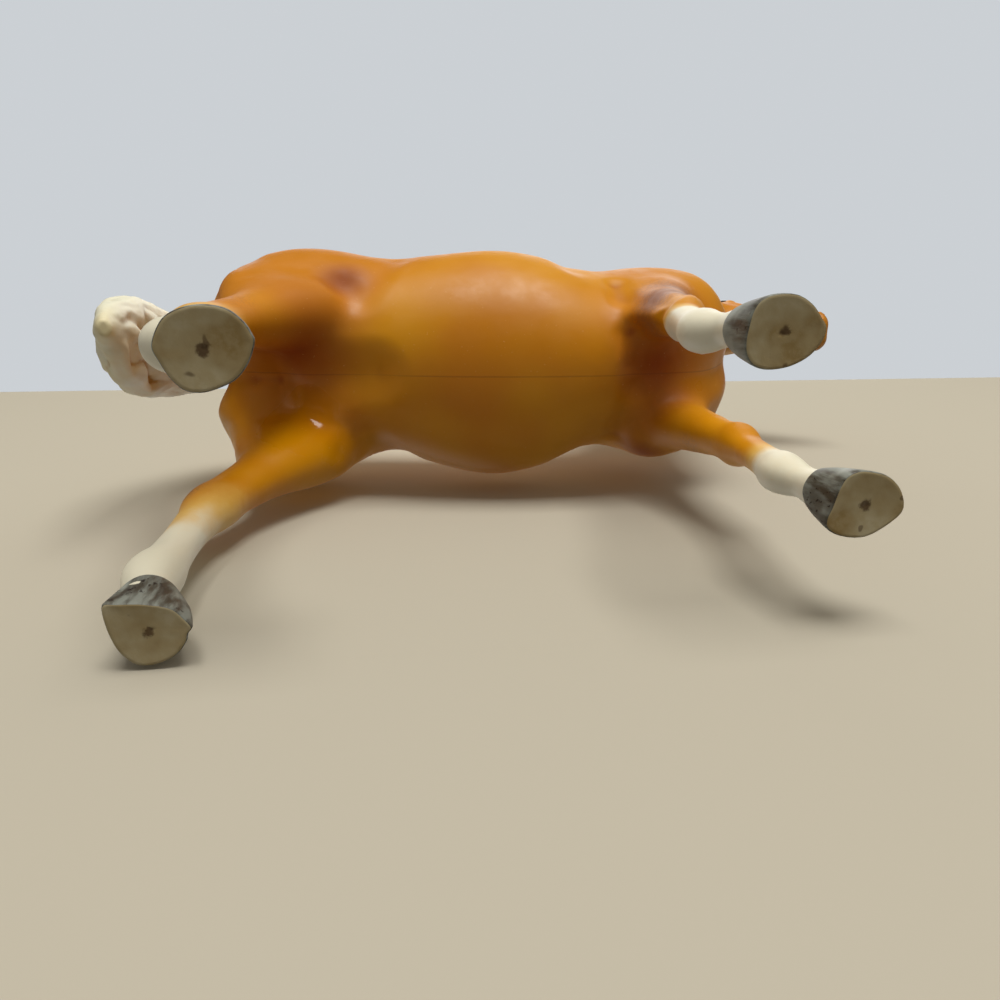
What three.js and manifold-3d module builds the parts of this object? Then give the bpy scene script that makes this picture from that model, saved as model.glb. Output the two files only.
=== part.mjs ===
import * as THREE from 'three';
import Module from 'manifold-3d';
import { LoftGeometry } from 'three/addons/geometries/LoftGeometry.js';
import { mergeVertices } from 'three/addons/utils/BufferGeometryUtils.js';

// A hollow moulded toy horse, standing. Millimetres, +X towards the head, +Y the horse's left,
// +Z up, soles on z = 0. While it is made, x = 0 is halfway along the body and y = 0 the body's seam.

// Body
const bodyLength = 178;
const withersHeight = 176;
const barrelWidth = 76;
const wall = 2.4;

// Neck and head
const neckLength = 84;
const neckDepth = 74;
const neckWidth = 48;
const neckAngle = THREE.MathUtils.degToRad(54);
const headLength = 67;
const headDepth = 33;
const headWidth = 28;
const headAngle = THREE.MathUtils.degToRad(-45);
const headTurn = THREE.MathUtils.degToRad(8.5);
const earLength = 20;
const earWidth = 9;

// Legs and hooves
const foreCannon = 8.6;
const hindCannon = 10;
const hoofHeight = 11;
const foreHoofLength = 15.4;
const foreHoofWidth = 13.3;
const hindHoofLength = 15.4;
const hindHoofWidth = 13.4;
const coronetLedge = 0.5;
const coronetTilt = 2;
const hoofSlant = 3;

// Tail and mane
const tailDrop = 96;
const tailWidth = 26;
const tailDepth = 15;
const maneThickness = 3.6;
const foreLockWidth = 7;

// Joining: seam, pegs on posts, and the round spigots that seat the legs and the tail
const fitGap = 0.3;
const seamGap = 0.3;
const postRadius = 4;
const pegRadius = 2;
const pegLength = 3.5;
const foreSpigotRadius = 4.8;
const hindSpigotRadius = 6.5;
const spigotReach = 7;
const spigotRoot = 12;
const tailPegRadius = 2.8;
const tailPegReach = 9;
const overrun = 1;

// Facet counts
const bodyPoints = 28;
const neckPoints = 22;
const hollowPoints = 16;
const legPoints = 18;
const musclePoints = 14;
const muscleRings = 7;
const earPoints = 10;
const roundPoints = 20;

const amber = new THREE.MeshStandardMaterial({ color: 0xc87a2c, roughness: 0.38, metalness: 0 });
const amberDeep = new THREE.MeshStandardMaterial({ color: 0xb96c24, roughness: 0.38, metalness: 0 });
const cream = new THREE.MeshStandardMaterial({ color: 0xece2bf, roughness: 0.5, metalness: 0 });

const wasm = await Module();
wasm.setup();

function solidOf(geometry) {
  const bare = new THREE.BufferGeometry();
  bare.setAttribute('position', geometry.attributes.position);
  bare.setIndex(geometry.index);
  const merged = mergeVertices(bare);
  const vertProperties = new Float32Array(merged.attributes.position.array);
  const triVerts = new Uint32Array(merged.index.array);
  return new wasm.Manifold(new wasm.Mesh({ numProp: 3, vertProperties, triVerts }));
}

function meshOf(name, solid, material) {
  const { vertProperties, triVerts } = solid.getMesh();
  const geometry = new THREE.BufferGeometry();
  geometry.setAttribute('position', new THREE.BufferAttribute(new Float32Array(vertProperties), 3));
  geometry.setIndex(new THREE.BufferAttribute(new Uint32Array(triVerts), 1));
  geometry.computeVertexNormals();
  const mesh = new THREE.Mesh(geometry, material.clone());
  mesh.name = name;
  return mesh;
}

function join(solids) {
  return solids.reduce((whole, solid) => whole.add(solid));
}

// The rows of a table with smooth rows put in between, steps to a row.
function smooth(rows, steps) {
  const count = (rows.length - 1) * steps;
  const curves = rows[0].map((_, column) => {
    return new THREE.SplineCurve(rows.map((row, i) => new THREE.Vector2(i, row[column])));
  });
  return Array.from({ length: count + 1 }, (_, k) => curves.map((curve) => curve.getPoint(k / count).y));
}

const across = new THREE.Vector3(0, 1, 0);
const forward = new THREE.Vector3(1, 0, 0);
const upward = new THREE.Vector3(0, 0, 1);

// An oval ring round a centre: half its width to each side, and its own reach above and below.
function ring(centre, side, up, halfWidth, above, below, points) {
  return Array.from({ length: points }, (_, k) => {
    const angle = (k / points) * 2 * Math.PI;
    const rise = Math.sin(angle);
    const reach = rise > 0 ? above : below;
    return centre.clone()
      .addScaledVector(side, halfWidth * Math.cos(angle))
      .addScaledVector(up, reach * rise);
  });
}

function loft(rings) {
  return solidOf(new LoftGeometry(rings, { capStart: true, capEnd: true }));
}

// The head and the front of the neck are turned to the horse's right, from a hinge line at the chest.
const turnStartShare = 0.38;
const turnStart = turnStartShare * bodyLength;
const turnSlope = Math.tan(headTurn);

function seamAt(x) {
  return -Math.max(0, x - turnStart) * turnSlope;
}

function turned(rings) {
  return rings.map((points) => points.map((p) => new THREE.Vector3(p.x, p.y + seamAt(p.x), p.z)));
}

// Shares: along the body, top, bottom, half width, height of the widest line, and how far the section
// lies to the left, because the barrel bends a little with the horse's walk.
const torsoShares = [
  [-0.5, 0.83, 0.755, 0.12, 0.79, 0],
  [-0.485, 0.865, 0.7, 0.28, 0.785, 0],
  [-0.45, 0.9, 0.655, 0.4, 0.785, 0],
  [-0.4, 0.938, 0.62, 0.475, 0.79, 0],
  [-0.32, 0.966, 0.6, 0.505, 0.8, -0.01],
  [-0.24, 0.967, 0.59, 0.47, 0.795, -0.03],
  [-0.17, 0.955, 0.575, 0.425, 0.775, -0.043],
  [-0.08, 0.937, 0.55, 0.46, 0.745, -0.02],
  [0, 0.923, 0.532, 0.49, 0.73, -0.008],
  [0.06, 0.92, 0.525, 0.49, 0.727, -0.008],
  [0.14, 0.93, 0.52, 0.45, 0.733, -0.015],
  [0.22, 0.956, 0.526, 0.385, 0.744, -0.028],
  [0.3, 0.978, 0.538, 0.42, 0.756, -0.015],
  [0.38, 0.955, 0.56, 0.435, 0.756, 0],
  [0.43, 0.9, 0.59, 0.4, 0.75, 0],
  [0.47, 0.84, 0.635, 0.29, 0.74, 0],
  [0.5, 0.775, 0.69, 0.12, 0.733, 0],
];

function torso(offset, steps = 2, points = bodyPoints) {
  const rings = smooth(torsoShares, steps).map(([along, top, bottom, half, widest, aside]) => {
    const z = widest * withersHeight;
    const above = top * withersHeight - z + offset;
    const below = z - bottom * withersHeight + offset;
    const centre = new THREE.Vector3(along * (bodyLength + 2 * offset), aside * barrelWidth, z);
    return ring(centre, across, upward, half * barrelWidth + offset, above, below, points);
  });
  return loft(rings);
}

// The muscles that stand out on both sides: where they lie along the body, aside and up, their half
// length, half width and half height, all as shares, and how far they lean back in degrees.
const muscleShares = {
  shoulder: [0.337, 0.25, 0.784, 0.094, 0.16, 0.16, 24],
  forearm: [0.32, 0.25, 0.642, 0.077, 0.138, 0.094, 0],
  breast: [0.404, 0.138, 0.682, 0.06, 0.138, 0.088, 8],
  haunch: [-0.32, 0.263, 0.784, 0.144, 0.225, 0.146, 10],
  buttock: [-0.393, 0.19, 0.773, 0.071, 0.178, 0.146, 0],
};

function muscle([along, aside, rise, long, wide, tall, lean], side, offset) {
  const angle = THREE.MathUtils.degToRad(lean);
  const way = new THREE.Vector3(Math.cos(angle), 0, Math.sin(angle));
  const up = new THREE.Vector3(-way.z, 0, way.x);
  const middle = new THREE.Vector3(along * bodyLength, side * aside * barrelWidth, rise * withersHeight);
  const rings = Array.from({ length: muscleRings }, (_, k) => {
    const turn = (Math.PI * (k + 0.5)) / muscleRings;
    const centre = middle.clone().addScaledVector(way, -Math.cos(turn) * (long * bodyLength + offset));
    const size = Math.sin(turn);
    const reach = size * (tall * withersHeight + offset);
    return ring(centre, across, up, size * (wide * barrelWidth + offset), reach, reach, musclePoints);
  });
  return loft(turned(rings));
}

function muscles(offset) {
  return join(Object.values(muscleShares).flatMap((row) => [muscle(row, 1, offset), muscle(row, -1, offset)]));
}

// Shares: along the neck, depth, half width, sideways shift, and the section's lean in degrees.
const neckShares = [
  [0, 0.92, 0.48, -0.04, 139],
  [0.28, 0.76, 0.385, 0, 137],
  [0.56, 0.62, 0.29, 0.02, 131],
  [0.8, 0.52, 0.24, 0.022, 125],
  [1, 0.43, 0.22, 0, 120],
];

const neckBaseShares = [0.331, 0.824];
const neckBase = new THREE.Vector3(neckBaseShares[0] * bodyLength, 0, neckBaseShares[1] * withersHeight);
const neckWay = new THREE.Vector3(Math.cos(neckAngle), 0, Math.sin(neckAngle));
const neckSquare = new THREE.Vector3(-neckWay.z, 0, neckWay.x);
const poll = neckBase.clone().addScaledVector(neckWay, neckLength);

function neckSection([along, depth, half, shift, lean], offset) {
  const centre = neckBase.clone()
    .addScaledVector(neckWay, along * (neckLength + offset))
    .addScaledVector(neckSquare, shift * neckLength);
  const angle = THREE.MathUtils.degToRad(lean);
  const up = new THREE.Vector3(Math.cos(angle), 0, Math.sin(angle));
  return { centre, up, reach: (depth * neckDepth) / 2 + offset, halfWidth: half * neckWidth + offset };
}

function neck(offset, steps = 2, points = neckPoints) {
  const rings = smooth(neckShares, steps).map((row) => {
    const { centre, up, reach, halfWidth } = neckSection(row, offset);
    return ring(centre, across, up, halfWidth, reach, reach, points);
  });
  return loft(turned(rings));
}

// Shares: along the head, forehead side, jaw side, half width.
const headShares = [
  [-0.07, 0.13, 0.18, 0.16],
  [0, 0.3, 0.37, 0.35],
  [0.1, 0.37, 0.5, 0.45],
  [0.22, 0.4, 0.6, 0.5],
  [0.36, 0.385, 0.58, 0.475],
  [0.5, 0.335, 0.41, 0.39],
  [0.66, 0.3, 0.33, 0.325],
  [0.8, 0.295, 0.33, 0.345],
  [0.92, 0.27, 0.32, 0.34],
  [1, 0.18, 0.22, 0.22],
];

const headWay = new THREE.Vector3(Math.cos(headAngle), 0, Math.sin(headAngle));
const headUp = new THREE.Vector3(-headWay.z, 0, headWay.x);
const pollRiseShare = 0.25;
const headBase = poll.clone().add(new THREE.Vector3(0, 0, pollRiseShare * headDepth));

// A point of the head's middle line: shares of its length along it and of its depth above it.
function headPoint(along, rise) {
  return headBase.clone()
    .addScaledVector(headWay, along * headLength)
    .addScaledVector(headUp, rise * headDepth);
}

function head(offset, firstRow = 0, points = neckPoints) {
  const rings = headShares.slice(firstRow).map(([along, fore, jaw, half]) => {
    const reach = 0.5 * headLength + (along - 0.5) * (headLength + 2 * offset);
    const centre = headBase.clone().addScaledVector(headWay, reach);
    const above = fore * headDepth + offset;
    const below = jaw * headDepth + offset;
    return ring(centre, across, headUp, half * headWidth + offset, above, below, points);
  });
  return loft(turned(rings));
}

// Shares of an ear: along it, width, depth.
const earShares = [
  [0, 0.7, 0.5],
  [0.3, 1, 0.62],
  [0.6, 0.85, 0.5],
  [0.85, 0.42, 0.28],
  [1, 0.1, 0.1],
];
const earLean = THREE.MathUtils.degToRad(68);
const earSplay = THREE.MathUtils.degToRad(12);
const earSeatShares = [0.04, 0.2, 0.27];

function ear(side, offset) {
  const way = new THREE.Vector3(Math.cos(earLean), side * Math.tan(earSplay), Math.sin(earLean)).normalize();
  const up = new THREE.Vector3().crossVectors(way, across).normalize();
  const wide = new THREE.Vector3().crossVectors(up, way).normalize();
  const [along, rise, aside] = earSeatShares;
  const seat = headPoint(along, rise).addScaledVector(across, side * aside * headWidth);
  const rings = earShares.map(([place, width, depth]) => {
    const centre = seat.clone().addScaledVector(way, place * earLength);
    const reach = (depth * earWidth) / 2 + offset;
    return ring(centre, wide, up, (width * earWidth) / 2 + offset, reach, reach, earPoints);
  });
  return loft(turned(rings));
}

function outerBody(offset) {
  return join([torso(offset), muscles(offset), neck(offset), head(offset), ear(1, offset), ear(-1, offset)]);
}

// All that lies to one side of a line beside the seam, bent as the seam is, as tall as the figure.
function sideOfSeam(side, near) {
  const far = 2 * bodyLength;
  const outline = new THREE.Shape([
    new THREE.Vector2(-far, near),
    new THREE.Vector2(turnStart, near),
    new THREE.Vector2(far, near + seamAt(far)),
    new THREE.Vector2(far, side * far),
    new THREE.Vector2(-far, side * far),
  ]);
  return solidOf(new THREE.ExtrudeGeometry(outline, { depth: 2 * withersHeight, bevelEnabled: false }));
}

// A round bar along y, from one y to another.
function barAcross(x, z, radius, from, to) {
  const geometry = new THREE.CylinderGeometry(radius, radius, Math.abs(to - from), roundPoints);
  geometry.translate(x, (from + to) / 2, z);
  return solidOf(geometry);
}

// A round bar along z, from one height to another.
function barUp(x, y, radius, from, to) {
  const geometry = new THREE.CylinderGeometry(radius, radius, to - from, roundPoints);
  geometry.rotateX(Math.PI / 2);
  geometry.translate(x, y, (from + to) / 2);
  return solidOf(geometry);
}

// Where the locating pegs lie: three in the body, as shares of its length and height, and one in the neck.
const bodyPostShares = [
  [-0.3, 0.87],
  [0.02, 0.7],
  [0.3, 0.78],
];
const neckPostShare = 0.72;
const neckPost = neckBase.clone().addScaledVector(neckWay, neckPostShare * neckLength);
const postPlaces = [
  ...bodyPostShares.map(([along, rise]) => [along * bodyLength, rise * withersHeight]),
  [neckPost.x, neckPost.z],
];

// The hollow widens where the neck meets the head.
const pollRoomShare = 0.3;

// The hollow inside: the body's form drawn in by the wall, round the posts that stand across it.
function hollow() {
  const pollRoom = solidOf(new THREE.SphereGeometry(pollRoomShare * headDepth, hollowPoints, hollowPoints / 2)
    .translate(poll.x, seamAt(poll.x), poll.z));
  const inside = join([
    torso(-wall, 1, hollowPoints),
    neck(-wall, 1, hollowPoints),
    head(-wall, 2, hollowPoints),
    pollRoom,
  ]);
  const posts = postPlaces.map(([x, z]) => barAcross(x, z, postRadius, -barrelWidth, barrelWidth));
  return posts.reduce((space, post) => space.subtract(post), inside);
}

// Legs: joint centres from the coronet up, as shares of body length, barrel width, withers height.
const legTable = {
  front_left_leg: {
    fore: true,
    foot: [0.342, 0.203],
    joints: [
      [0.325, 0.197, 0],
      [0.321, 0.192, 0.136],
      [0.356, 0.203, 0.34],
      [0.348, 0.21, 0.55],
      [0.337, 0.204, 0.68],
    ],
  },
  front_right_leg: {
    fore: true,
    foot: [0.233, -0.217],
    joints: [
      [0.216, -0.218, 0],
      [0.205, -0.208, 0.136],
      [0.244, -0.230, 0.34],
      [0.303, -0.243, 0.55],
      [0.326, -0.230, 0.68],
    ],
  },
  hind_left_leg: {
    fore: false,
    foot: [-0.393, 0.445],
    joints: [
      [-0.413, 0.429, 0],
      [-0.424, 0.418, 0.136],
      [-0.416, 0.386, 0.38],
      [-0.331, 0.324, 0.6],
      [-0.320, 0.263, 0.75],
    ],
  },
  hind_right_leg: {
    fore: false,
    foot: [-0.315, -0.188],
    joints: [
      [-0.340, -0.189, 0],
      [-0.376, -0.182, 0.136],
      [-0.410, -0.204, 0.38],
      [-0.337, -0.230, 0.6],
      [-0.320, -0.237, 0.75],
    ],
  },
};

// Leg thickness: place among the joints, then reach to the front, to the back and to each side, in
// cannon widths.
const foreLegShares = [
  [0, 0.5, 0.52, 0.56],
  [0.45, 0.46, 0.49, 0.46],
  [1, 0.52, 0.66, 0.52],
  [1.3, 0.45, 0.53, 0.44],
  [1.65, 0.45, 0.51, 0.43],
  [1.9, 0.6, 0.58, 0.6],
  [2, 0.7, 0.64, 0.7],
  [2.15, 0.64, 0.64, 0.64],
  [2.4, 0.7, 0.76, 0.68],
  [2.7, 0.94, 1.02, 0.83],
  [3, 1.22, 1.3, 0.96],
  [3.5, 1.48, 1.5, 1.05],
  [4, 1.45, 1.4, 1],
];
const hindLegShares = [
  [0, 0.48, 0.5, 0.52],
  [0.45, 0.45, 0.5, 0.45],
  [1, 0.51, 0.66, 0.54],
  [1.25, 0.43, 0.5, 0.42],
  [1.6, 0.45, 0.49, 0.42],
  [1.85, 0.6, 0.65, 0.53],
  [2, 0.68, 0.8, 0.6],
  [2.15, 0.67, 0.78, 0.58],
  [2.4, 0.8, 0.84, 0.66],
  [2.7, 1.18, 1.2, 0.86],
  [3, 1.75, 1.9, 1.1],
  [3.4, 2.15, 2.25, 1.22],
  [4, 2.1, 2.1, 1.2],
];

// Shares of a hoof: height, length and width, and how far the section has slid back.
const hoofShares = [
  [0, 0.97, 0.97, 0],
  [0.06, 1, 1, 0.02],
  [0.5, 0.88, 0.89, 0.5],
  [0.92, 0.76, 0.79, 0.95],
  [1, 0.72, 0.75, 1],
];

const rightward = across.clone().negate();

function legRings({ fore, foot, joints }) {
  const cannon = fore ? foreCannon : hindCannon;
  const hoofLength = fore ? foreHoofLength : hindHoofLength;
  const hoofWidth = fore ? foreHoofWidth : hindHoofWidth;
  const toeX = foot[0] * bodyLength;
  const toeY = foot[1] * barrelWidth;
  // The coronet is higher at the toe than at the heel, and the tilt fades towards the fetlock.
  const tilted = (points, middle, share) => {
    points.forEach((p) => { p.z += (share * coronetTilt * (p.x - middle)) / (hoofLength / 2); });
    return points;
  };
  const hoof = hoofShares.map(([rise, long, wide, back]) => {
    const centre = new THREE.Vector3(toeX - back * hoofSlant, toeY, rise * hoofHeight);
    const half = (wide * hoofWidth) / 2;
    return tilted(ring(centre, forward, across, (long * hoofLength) / 2, half, half, legPoints), centre.x, rise);
  });
  const path = new THREE.CatmullRomCurve3(joints.map(([along, aside, up]) => {
    const height = Math.max(up * withersHeight, hoofHeight);
    return new THREE.Vector3(along * bodyLength, aside * barrelWidth, height);
  }));
  const spans = joints.length - 1;
  const shank = (fore ? foreLegShares : hindLegShares).map(([place, front, back, wide], i) => {
    const centre = path.getPoint(Math.min(place / spans, 1));
    const half = wide * cannon - (i === 0 ? coronetLedge : 0);
    const points = ring(centre, rightward, forward, half, front * cannon, back * cannon, legPoints);
    return tilted(points, centre.x, Math.max(1 - place, 0));
  });
  return [...hoof, ...shank];
}

function spigotOf({ fore, joints }) {
  const [along, aside] = joints[3];
  return {
    x: along * bodyLength,
    y: aside * barrelWidth,
    radius: fore ? foreSpigotRadius : hindSpigotRadius,
  };
}

// The height of the belly's skin above a point, where a spigot enters the shell.
function seatHeight(x, y) {
  const rows = smooth(torsoShares, 2);
  const share = x / bodyLength;
  const k = rows.findIndex((row) => row[0] > share);
  const t = (share - rows[k - 1][0]) / (rows[k][0] - rows[k - 1][0]);
  const at = (column) => THREE.MathUtils.lerp(rows[k - 1][column], rows[k][column], t);
  const aside = Math.min(Math.abs(y - at(5) * barrelWidth) / (at(3) * barrelWidth), 1);
  const drop = (at(4) - at(2)) * withersHeight;
  return at(4) * withersHeight - drop * Math.sqrt(1 - aside * aside);
}

function legAndSocket(leg, coveredBody) {
  const { x, y, radius } = spigotOf(leg);
  const seat = seatHeight(x, y);
  const top = seat + wall + spigotReach;
  const root = seat - spigotRoot;
  const limb = loft(legRings(leg)).subtract(coveredBody);
  return {
    limb: limb.add(barUp(x, y, radius, root, top)),
    socket: barUp(x, y, radius + fitGap, root, top + overrun),
  };
}

// Shares of the tail: back from the dock, aside, drop from the dock, half width, half depth.
const tailShares = [
  [-0.03, 0, -0.02, 0.16, 0.3],
  [0.04, -0.02, 0.05, 0.26, 0.4],
  [0.105, -0.1, 0.17, 0.4, 0.46],
  [0.18, -0.23, 0.36, 0.5, 0.5],
  [0.193, -0.35, 0.56, 0.52, 0.5],
  [0.155, -0.47, 0.76, 0.4, 0.4],
  [0.12, -0.57, 0.92, 0.24, 0.27],
  [0.1, -0.6, 1, 0.09, 0.12],
];
const dockShares = [-0.472, 0.9];
const dock = new THREE.Vector3(dockShares[0] * bodyLength, 0, dockShares[1] * withersHeight);

function tailCentre([back, aside, drop]) {
  return new THREE.Vector3(dock.x - back * tailDrop, aside * tailWidth, dock.z - drop * tailDrop);
}

function tailLock() {
  const rows = smooth(tailShares, 2);
  const centres = rows.map(tailCentre);
  const rings = rows.map(([, , , width, depth], i) => {
    const before = centres[Math.max(i - 1, 0)];
    const after = centres[Math.min(i + 1, rows.length - 1)];
    const way = after.clone().sub(before).normalize();
    const up = new THREE.Vector3().crossVectors(way, across).normalize();
    return ring(centres[i], across, up, width * tailWidth, depth * tailDepth, depth * tailDepth, legPoints);
  });
  return loft(rings);
}

// The tail's peg lies across the seam, a little under the dock.
const tailPegDropShare = 0.05;

function tailPeg(radius, reach) {
  const geometry = new THREE.CylinderGeometry(radius, radius, reach + tailPegReach, roundPoints);
  geometry.rotateZ(Math.PI / 2);
  geometry.translate(dock.x + (reach - tailPegReach) / 2, 0, dock.z - tailPegDropShare * tailDrop);
  return solidOf(geometry);
}

// A point beside the neck: its share of the way up, and from the throat (0) to the crest (1).
function neckPoint(along, rise) {
  const rows = smooth(neckShares, 8);
  const row = rows[Math.round(along * (rows.length - 1))];
  const { centre, up, reach } = neckSection(row, 0);
  return centre.clone().addScaledVector(up, (2 * rise - 1) * reach);
}

// The mane's lower edge, lock by lock: along the neck, and how far down the side each tip hangs.
const maneEdgeShares = [
  [0.2, 0.86], [0.26, 0.62], [0.34, 0.72], [0.42, 0.5], [0.5, 0.62], [0.58, 0.4],
  [0.66, 0.54], [0.76, 0.34], [0.84, 0.5], [0.94, 0.4], [1, 0.52],
];

// How far past the crest the cutting form reaches, as a share of the neck's depth, and where along it.
const maneTopShare = 1.35;
const maneBackShares = [1, 0.75, 0.5, 0.25, 0.12];
const behindEarsShares = [-0.11, 0.62];

// It ends behind the ears, and lies on the crest and the right side of the neck.
function manePrism() {
  const edge = maneEdgeShares.map(([along, rise]) => neckPoint(along, rise));
  const behindEars = headPoint(...behindEarsShares);
  const back = maneBackShares.map((along) => neckPoint(along, maneTopShare));
  const outline = [...edge, behindEars, ...back].map((p) => new THREE.Vector2(p.x, p.z));
  const shape = new THREE.Shape(outline);
  const geometry = new THREE.ExtrudeGeometry(shape, { depth: 2 * barrelWidth, bevelEnabled: false });
  geometry.rotateX(Math.PI / 2);
  geometry.translate(0, barrelWidth, 0);
  return solidOf(geometry).intersect(sideOfSeam(-1, foreLockWidth / 2));
}

// The lock that lies between the ears and down the forehead: shares along the head, and of its half width.
const foreLockShares = [
  [-0.1, 0.25],
  [0.04, 0.5],
  [0.2, 0.42],
  [0.34, 0.12],
];
const foreLockRiseShare = 0.4;

function foreLock() {
  const rings = foreLockShares.map(([along, half]) => {
    const centre = headPoint(along, foreLockRiseShare);
    const below = foreLockRiseShare * headDepth;
    return ring(centre, across, headUp, half * foreLockWidth, maneThickness, below, earPoints);
  });
  return loft(turned(rings));
}

function maneSolid() {
  const thick = join([neck(maneThickness), head(maneThickness)]);
  const locks = manePrism().add(foreLock());
  const covered = join([neck(fitGap), head(fitGap), torso(fitGap), ear(1, fitGap), ear(-1, fitGap)]);
  return thick.intersect(locks).subtract(covered);
}

function shell(side, socketCuts) {
  const cuts = socketCuts.reduce((whole, cut) => whole.subtract(cut), outerBody(0).subtract(hollow()));
  const half = cuts.intersect(sideOfSeam(side, (side * seamGap) / 2));
  return postPlaces.reduce((solid, [x, z]) => {
    const seam = seamAt(x);
    if (side > 0) {
      return solid.add(barAcross(x, z, pegRadius, seam - pegLength, seam + postRadius));
    }
    return solid.subtract(barAcross(x, z, pegRadius + fitGap, seam - pegLength - overrun, seam + overrun));
  }, half);
}

const coveredBody = outerBody(fitGap);
const legs = Object.entries(legTable).map(([name, leg]) => ({ name, ...legAndSocket(leg, coveredBody) }));
const sockets = legs.map((leg) => leg.socket);
const tail = tailLock().subtract(coveredBody).add(tailPeg(tailPegRadius, tailPegReach));
sockets.push(tailPeg(tailPegRadius + fitGap, tailPegReach + overrun));

const figure = new THREE.Group();
figure.add(meshOf('body_shell_left', shell(1, sockets), amber));
figure.add(meshOf('body_shell_right', shell(-1, sockets), amber));
for (const { name, limb } of legs) {
  figure.add(meshOf(name, limb, amberDeep));
}
figure.add(meshOf('tail', tail, cream));
figure.add(meshOf('mane', maneSolid(), cream));

// The origin lies on the floor, under the middle of the figure's box.
const box = new THREE.Box3().setFromObject(figure);
figure.position.set(-(box.min.x + box.max.x) / 2, -(box.min.y + box.max.y) / 2, -box.min.z);

export default figure;
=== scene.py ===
import math

import bmesh
import bpy
import numpy as np
from mathutils import Matrix, Vector
from mathutils.bvhtree import BVHTree


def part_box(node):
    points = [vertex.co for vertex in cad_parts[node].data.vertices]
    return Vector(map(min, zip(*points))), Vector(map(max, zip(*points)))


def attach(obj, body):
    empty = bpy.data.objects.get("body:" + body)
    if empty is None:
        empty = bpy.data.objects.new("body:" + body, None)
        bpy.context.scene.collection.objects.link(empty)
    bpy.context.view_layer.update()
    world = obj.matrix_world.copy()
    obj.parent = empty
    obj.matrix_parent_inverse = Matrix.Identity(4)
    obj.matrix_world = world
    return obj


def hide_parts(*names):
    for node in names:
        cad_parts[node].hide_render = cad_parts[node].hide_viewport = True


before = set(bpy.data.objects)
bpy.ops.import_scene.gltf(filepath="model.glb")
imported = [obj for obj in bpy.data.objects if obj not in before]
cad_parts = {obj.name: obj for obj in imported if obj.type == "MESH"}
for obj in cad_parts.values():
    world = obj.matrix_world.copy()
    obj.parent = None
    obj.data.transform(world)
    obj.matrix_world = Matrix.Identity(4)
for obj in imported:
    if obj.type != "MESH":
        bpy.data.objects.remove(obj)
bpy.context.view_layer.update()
print("frame loaded")

# Forms are made in millimetres, straight, with x = 0 halfway along the body and y = 0 on its seam.
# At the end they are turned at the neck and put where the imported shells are, in metres.
horse = {
    "bodyLength": 178,
    "withersHeight": 176,
    "barrelWidth": 76,
    "seamGap": 0.3,
    # The neck turns to the horse's right and the head partly back: where along the body each bend begins,
    # the degrees after it and its length
    "bends": [(67.6, -11, 10), (116, 1, 14)],
    "voxel": 0.8,
    "bodyRelax": 100,  # smoothing rounds where the legs and neck run into the body
    "fineRelax": 14,
    "lastRelax": 3,
    "smoothing": (0.6, 0.62),  # how far a pass moves a point, and how far it goes back
    "trunk": (74, 96),  # heights between which the trunk begins, and where it ends before the poll
    "trunkEnd": (-18, -2),
}
millimetre = 0.001
leftLow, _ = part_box("body_shell_left")
_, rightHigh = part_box("body_shell_right")
halfLength, halfGap = horse["bodyLength"] / 2 * millimetre, horse["seamGap"] / 2 * millimetre
bodyCentre = Vector((leftLow.x + halfLength, rightHigh.y + halfGap, 0))

across = np.array([0.0, 1.0, 0.0])
forward = np.array([1.0, 0.0, 0.0])
upward = np.array([0.0, 0.0, 1.0])


def eased(value, low=0, high=1):
    t = np.clip((value - low) / (high - low), 0, 1)
    return t * t * (3 - 2 * t)


# A direction in the side view, some degrees above the horse's front
def heading(degrees):
    angle = math.radians(degrees)
    return np.array([math.cos(angle), 0, math.sin(angle)])


def squareTo(way):
    return np.array([-way[2], 0, way[0]])


# A point on the smooth curve from start to end
def between(before, start, end, after, u):
    leave, arrive = (end - before) / 2, (after - start) / 2
    bend = 3 * (end - start) - 2 * leave - arrive
    return start + leave * u + bend * u ** 2 + (2 * (start - end) + leave + arrive) * u ** 3


def splined(rows, steps):
    rows = np.array(rows, float)
    last = len(rows) - 1
    if last == 0:
        return rows
    made = []
    for k in range(last * steps + 1):
        i = min(k // steps, last - 1)
        made.append(between(rows[max(i - 1, 0)], rows[i], rows[i + 1], rows[min(i + 2, last)], k / steps - i))
    return np.array(made)


def closedSpline(corners, points):
    corners = np.array(corners, float)
    made = []
    for k in range(points):
        i, u = divmod(k * len(corners) / points, 1)
        made.append(between(*(corners[(int(i) + n) % len(corners)] for n in (-1, 0, 1, 2)), u))
    return np.array(made)


# An oval ring. square over 2 makes it boxier, pinch narrows its lower side.
def ovalRing(centre, side, up, halfWidth, above, below, points=72, square=2.0, pinch=0.0):
    angle = np.arange(points) / points * 2 * math.pi
    wide = np.sign(np.cos(angle)) * np.abs(np.cos(angle)) ** (2 / square)
    tall = np.sign(np.sin(angle)) * np.abs(np.sin(angle)) ** (2 / square)
    wide = wide * (1 - pinch * np.clip(-tall, 0, 1) ** 2)
    reach = np.where(tall > 0, above, below)
    return centre + np.outer(wide * halfWidth, side) + np.outer(tall * reach, up)


def loft(rings):
    count = len(rings[0])
    points = np.concatenate([*rings, [rings[0].mean(0)], [rings[-1].mean(0)]])
    faces = []
    for r in range(len(rings) - 1):
        for k in range(count):
            a, b = r * count + k, r * count + (k + 1) % count
            faces.append((a, b, b + count, a + count))
    first, last = len(points) - 2, len(points) - 1
    base = (len(rings) - 1) * count
    for k in range(count):
        faces.append((first, (k + 1) % count, k))
        faces.append((last, base + k, base + (k + 1) % count))
    return points, faces


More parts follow.
